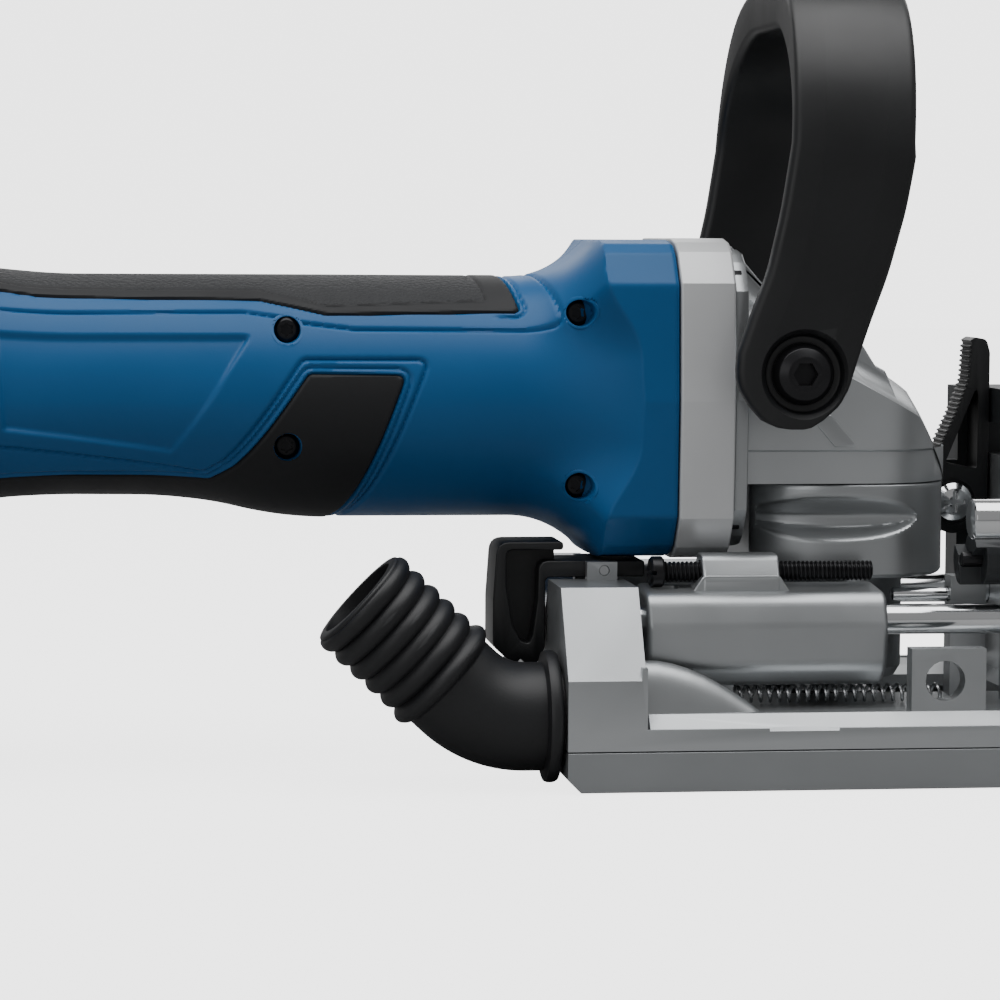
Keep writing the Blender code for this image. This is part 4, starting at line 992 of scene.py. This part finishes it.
def dust_duct():
    """The rounded roof over the dust channel, which sinks into the base plate."""
    x_line = np.linspace(-58.0, -28.0, 40)
    crest = np.interp(x_line, (-58.0, -51.0, -47.8, -44.0, -40.4, -37.4, -34.4, -29.3, -28.0),
                      (28.8, 28.5, 27.9, 26.7, 25.1, 23.5, 21.7, 18.4, 17.3))
    angles = np.linspace(0.0, math.pi / 2, 18)
    inner_y, foot = -48.3, 12.0
    rings = []
    for x, height in zip(x_line, crest):
        outer_y = -54.6 + 1.4 * float(smoothstep(-50.0, -28.0, x))
        y = inner_y + (outer_y - inner_y) * np.cos(angles) ** 0.8
        z = foot + (height - foot) * np.sin(angles) ** 0.9
        rings.append(along("X", np.append(y, inner_y), np.append(z, foot), x))
    return skin(rings)


def base_details():
    """The base with its ledge and dust duct, its pads, turret, pins and cover screws."""
    front, side = cad("base_casting")[1][:2]
    plate_top, ledge_top = 14.1, 17.2
    # Everything outside the ledge is cut away above the plate, and the gusset ribs go with it
    set_back = 3.6
    trims = [box((-54.7, -side - 3.0, plate_top), (-26.0, -48.5, 34.0), 0.1, 0.2)]
    ledges = []
    for sign in (-1, 1):
        low, high = sorted((sign * (side - set_back), sign * (side + 4.0)))
        trims.append(box((-14.0, low, plate_top), (front + 3.0, high, 44.0), 0.1, 0.2))
        ledge = [(sign * y, z) for y, z in ((side - 0.1, 13.2), (side - 3.5, ledge_top),
                                            (side - 5.5, ledge_top), (side - 5.5, 13.2))]
        ledges.append(slab(rounded(ledge, 0.3, 2), "X", -54.0, front - 0.3, 0.15, 2))
    recast("base_casting", "cast", "base", joined=[dust_duct(), *ledges], trims=trims)
    recast("bottom_cover", "cover", "base")
    for side in ("right", "left"):
        dress(f"anti_slip_pad_{side}", "rubber", 0.3)
    dress("depth_turret", "dark_cast", 0.35)
    dress("turret_screw", "black_steel", 0.25)
    dress("lock_lever_pin", "steel", 0.1)
    low, high = cad("stop_pin")
    y, z = (low[1] + high[1]) / 2, (low[2] + high[2]) / 2
    pin = turned([(low[0], 0.02), (low[0], 1.1), (low[0] + 0.5, 1.6), (high[0], 1.6)], "X", (y, z), 32, 0.2)
    piece("stop_pin", [pin], "chrome", "base", ["stop_pin"])
    for i, (x, y) in enumerate(((-64.0, -50.0), (-64.0, 50.0), (47.0, -50.0), (47.0, 50.0), (-64.0, 0.0))):
        head = turned([(0.12, 0.02), (0.12, 3.4), (1.6, 1.8), (2.6, 1.8)], "Z", (x, y), 32, 0.1)
        slots = [box((x - 1.9, y - 0.35, -1.0), (x + 1.9, y + 0.35, 0.9), 0.05, 0.1),
                 box((x - 0.35, y - 1.9, -1.0), (x + 0.35, y + 1.9, 0.9), 0.05, 0.1)]
        piece(f"cover_screw_{i + 1}", [head], "steel", "base", cuts=slots)


# ---------------------------------------------------------------- fence

def clamp_lever():
    """The ridged clamp lever with its screw and bolt."""
    low, high = cad("clamp_lever")
    pivot = middle("clamp_screw")
    ridge_line = rounded([(32.7, 70.0), (37.3, 80.0, 6.0), (40.6, 88.5, 6.0), (41.2, 97.9)], 4.0, 8,
                         closed=False)
    reach = np.concatenate(([0], np.cumsum(np.linalg.norm(np.diff(ridge_line, axis=0), axis=1))))
    ridges, per_ridge, tooth = 24, 4, 0.55
    teeth = []
    for i in range(ridges * per_ridge):
        place = reach[-1] * i / (ridges * per_ridge)
        x, z = np.interp(place, reach, ridge_line[:, 0]), np.interp(place, reach, ridge_line[:, 1])
        teeth.append((x + (tooth if i % per_ridge > 1 else 0.0), z))
    smooth = rounded([(41.3, 98.4, 0.6), (42.6, 99.2, 1.2), (45.5, 98.7, 1.6), (46.4, 95.4, 2.0),
                      (46.2, 58.5, 4.0),
                      (44.3, 52.6, 4.0), (37.3, 49.8, 5.0), (31.2, 52.4, 5.0), (28.9, 58.5, 5.0),
                      (29.8, 63.6, 4.0), (32.5, 69.6, 1.0)], 1.0, 5, closed=False)
    body = slab(np.concatenate((smooth, np.array(teeth))), "Y", low[1], high[1], 0.18, 2)
    window = rounded([(42.9, 86.6), (43.5, 85.0), (43.4, 66.4), (35.3, 67.9)], 0.6, 4)
    bore = turned([(low[1] - 5, 2.8), (high[1] + 5, 2.8)], "Y", (pivot[0], pivot[2]), 32)
    ring = skin([along("Y", *circle((pivot[0], pivot[2]), radius, 48).T, place)
                 for place, radius in ((low[1] - 3, 5.6), (low[1] + 0.6, 5.6))])
    piece("clamp_lever", [body], "black", "height_clamp", ["clamp_lever"],
          cuts=[slab(window, "Y", low[1] - 3, high[1] + 3, 0.3), bore, ring], sharp=30)
    low, high = cad("clamp_screw")
    x, z = pivot[0], pivot[2]
    face, seat = low[1], low[1] + 2.4
    head = turned([(face, 0.02), (face + 0.1, 1.6), (face + 0.7, 3.4), (face + 1.7, 4.7), (seat, 4.9),
                   (seat + 0.01, 2.5), (high[1], 2.5), (high[1], 0.02)], "Y", (x, z), 56, 0.2)
    cross = [slab(rounded([(x - a, z - b), (x + a, z - b), (x + a, z + b), (x - a, z + b)], 0.2, 2), "Y",
                  face - 1, face + 1.3, 0.05, 1) for a, b in ((2.7, 0.6), (0.6, 2.7))]
    piece("clamp_screw", [head], "chrome", "fence", ["clamp_screw"], cuts=cross)
    low, high = cad("clamp_bolt")
    y, z = middle("clamp_bolt")[1], middle("clamp_bolt")[2]
    collar, shank, end = low[0] + 3.5, 40.7, high[0] - 4.2
    bolt = turned([(collar, 0.02), (collar, 4.1), (collar + 0.5, 4.6), (shank - 0.3, 4.6), (shank, 4.3),
                   (shank, 3.2), (end, 3.2), (end, 5.0),
                   (high[0] - 0.6, 5.0), (high[0], 4.3), (high[0], 0.02)], "X", (y, z), 56, 0.2)
    piece("clamp_bolt", [bolt], "chrome", "fence", ["clamp_bolt"])


def fence():
    """The fence carrier, its tilting plate and angle lock."""
    clamp_lever()
    dress("fence_carrier", "dark_cast", 0.8)
    dress("fence_plate", "cast", 0.6)
    dress("fence_hinge_pin", "steel", 0.2)
    dress("angle_lock_knob", "black", 0.6)
    high = cad("fence_plate")[1]
    marks = []
    for i in range(-10, 11):
        length = 7.0 if i % 5 == 0 else 4.0
        if abs(i * 4.0) < 8.5:
            continue
        marks.append(box((high[0] - 1.5 - length, i * 4.0 - 0.15, 23.9),
                         (high[0] - 1.5, i * 4.0 + 0.15, 24.08),
                         0.03, 0.03))
    piece("fence_scale", marks, "black_steel", "tilting_fence")


# ---------------------------------------------------------------- controls and battery

def controls():
    """The switch slider and the spindle lock button."""
    low, high = cad("switch_slider")
    outline = rounded([(low[0], low[2]), (high[0], low[2]), (high[0], high[2]), (low[0], high[2])], 2.5, 5)
    slider = slab(outline, "Y", 28.6, high[1] - 1.0, 0.8)
    ribs = [box((x - 0.7, high[1] - 1.6, low[2] + 1.2), (x + 0.7, high[1], high[2] - 1.2), 0.5, 0.5)
            for x in np.linspace(low[0] + 2.5, high[0] - 2.5, 5)]
    stem = box((low[0], low[1], 84.2), (high[0] - 4.0, 29.5, 88.4), 0.3, 0.3)
    piece("switch_slider", [slider], "black", "switch", ["switch_slider"],
          joined=[*ribs, stem])
    low, high = cad("spindle_lock_button")
    x, z = middle("spindle_lock_button")[0], middle("spindle_lock_button")[2]
    button = turned([(low[1], 2.0), (27.0, 2.0), (27.0, 4.0), (high[1] - 0.8, 4.0), (high[1], 3.2),
                     (high[1] - 0.4, 0.02)], "Y", (x, z), 48, 0.4)
    piece("spindle_lock_button", [button], "black", "spindle_lock", ["spindle_lock_button"])


def battery():
    """The battery pack and its release button."""
    low, high = cad("battery_pack")
    middle_x, half_x, half_y = (low[0] + high[0]) / 2, (high[0] - low[0]) / 2, high[1]
    rings = []
    levels = np.linspace(0, 1, 70)
    for t in levels:
        z = low[2] + (high[2] - low[2]) * t
        edge = min(z - low[2], high[2] - z)
        pull = 3.5 * (1 - math.sqrt(1 - (1 - min(1.0, edge / 3.5)) ** 2)) if edge < 3.5 else 0.0
        belt = 0.9 * float(smoothstep(96.0, 97.2, z) * smoothstep(101.0, 99.8, z))
        ribbed = 0.7 * float(smoothstep(40, 42, z) * smoothstep(86, 84, z)) * (0.5 - 0.5 * math.cos(z * 1.3))
        pull += belt + ribbed
        outline = superellipse(half_x - pull, half_y - pull, 6.0, 96, (middle_x, 0.0))
        rings.append(along("Z", *outline.T, z))
    slot = box((high[0] - 9.0, -16.0, 60.0), (high[0] + 9.0, 16.0, 150.0), 0.5, 1.0)
    button_low, button_high = cad("battery_button")
    pocket = box((low[0] - 4, button_low[1] - 0.4, button_low[2] - 0.4),
                 (button_high[0] + 0.4, button_high[1] + 0.4, button_high[2] + 0.4), 0.4, 0.4)
    piece("battery_pack", [skin(rings)], "black", "battery", ["battery_pack"],
          cuts=[slot, pocket], sharp=34)
    ribs = [box((button_low[0], button_low[1] + 2.5, z - 0.4),
                (button_low[0] + 1.2, button_high[1] - 2.5, z + 0.4),
                0.3, 0.3) for z in np.linspace(button_low[2] + 3, button_high[2] - 3, 4)]
    base = box((button_low[0] + 0.5, button_low[1], button_low[2]), button_high, 0.7, 0.7)
    piece("battery_button", [base], "grey", "battery_latch", ["battery_button"], joined=ribs)
    dress("terminal_block", "grey", 0.4)


def inside():
    """Finishes for the pieces inside the housing."""
    for node in ("stator", "rotor"):
        dress(node, "copper" if node == "stator" else "black_steel", 0.3)
    for node in ("bearing_front", "bearing_rear", "spindle_bearing_upper", "spindle_bearing_lower", "spindle",
                 "bevel_gear", "bevel_pinion", "blade_flange", "blade_nut"):
        dress(node, "steel", 0.2)
    dress("blade", "steel", 0.12)
    dress("fan", "black", 0.3)
    dress("control_board", "board", 0.1)


# ---------------------------------------------------------------- studio

def area_light(name, where, aim, size, power, colour=(1.0, 1.0, 1.0)):
    """A rectangular lamp that faces a point."""
    lamp = bpy.data.lights.new(name, "AREA")
    lamp.shape = "RECTANGLE"
    lamp.size, lamp.size_y = size
    lamp.energy = power
    lamp.color = colour
    made = bpy.data.objects.new(name, lamp)
    made.location = where
    made.rotation_euler = (Vector(aim) - Vector(where)).to_track_quat("-Z", "Y").to_euler()
    bpy.context.scene.collection.objects.link(made)


def studio():
    """The pale floor, the world and the soft lamps."""
    floor_mesh = bpy.data.meshes.new("floor")
    reach = 4.0
    floor_z = -0.0003
    floor_mesh.from_pydata([(-reach, -reach, floor_z), (reach, -reach, floor_z), (reach, reach, floor_z),
                            (-reach, reach, floor_z)], [], [(0, 1, 2, 3)])
    floor = bpy.data.objects.new("floor", floor_mesh)
    bpy.context.scene.collection.objects.link(floor)
    paint = look("floor_paint", (0.30, 0.30, 0.30), 0.9, grain=60, height=0.02, tint=0.01)
    nodes, links = paint.node_tree.nodes, paint.node_tree.links
    path, glow = nodes.new("ShaderNodeLightPath"), nodes.new("ShaderNodeMapRange")
    glow.inputs["To Max"].default_value = 3.0
    shader = nodes["Principled BSDF"]
    shader.inputs["Emission Color"].default_value = (1.0, 1.0, 1.0, 1.0)
    links.new(path.outputs["Is Camera Ray"], glow.inputs["Value"])
    links.new(glow.outputs[0], shader.inputs["Emission Strength"])
    floor_mesh.materials.append(paint)
    world = bpy.data.worlds.new("studio")
    world.use_nodes = True
    nodes, links = world.node_tree.nodes, world.node_tree.links
    background = nodes["Background"]
    background.inputs["Color"].default_value = (1.0, 1.0, 1.0, 1.0)
    path = nodes.new("ShaderNodeLightPath")
    strength = nodes.new("ShaderNodeMapRange")
    strength.inputs["To Min"].default_value = 0.30
    strength.inputs["To Max"].default_value = 3.2
    links.new(path.outputs["Is Camera Ray"], strength.inputs["Value"])
    links.new(strength.outputs[0], background.inputs["Strength"])
    bpy.context.scene.world = world
    aim = (-0.08, 0.0, 0.08)
    area_light("top_key", (-0.10, -0.12, 0.85), aim, (1.4, 0.8), 11.5)
    area_light("front_fill", (-0.9, -1.1, 0.35), aim, (0.8, 0.6), 1.6)
    area_light("back_rim", (0.1, 0.9, 0.55), aim, (1.2, 0.4), 3.0)


def camera():
    """The view from the right side, level with the top of the gear head."""
    yaw, pitch, roll = math.radians(7.133), math.radians(4.179), math.radians(0.297)
    ahead = Vector((math.sin(yaw) * math.cos(pitch), math.cos(yaw) * math.cos(pitch), -math.sin(pitch)))
    right = Vector((math.cos(yaw), -math.sin(yaw), 0.0))
    up = right.cross(ahead)
    turned_right = right * math.cos(roll) + up * math.sin(roll)
    turned_up = turned_right.cross(ahead)
    data = bpy.data.cameras.new("camera")
    data.lens = 130.5
    data.sensor_width = 36.0
    made = bpy.data.objects.new("camera", data)
    axes = Matrix((turned_right, turned_up, -ahead)).transposed()
    made.matrix_world = Matrix.Translation((-0.1873, -0.850, 0.124)) @ axes.to_4x4()
    bpy.context.scene.collection.objects.link(made)
    bpy.context.scene.camera = made


motor_housing()
gear_head()
slide_sleeves()
rods_and_springs()
depth_stop()
bow_handle()
dust_elbow()
rear_lever()
base_details()
fence()
controls()
battery()
inside()
studio()
camera()
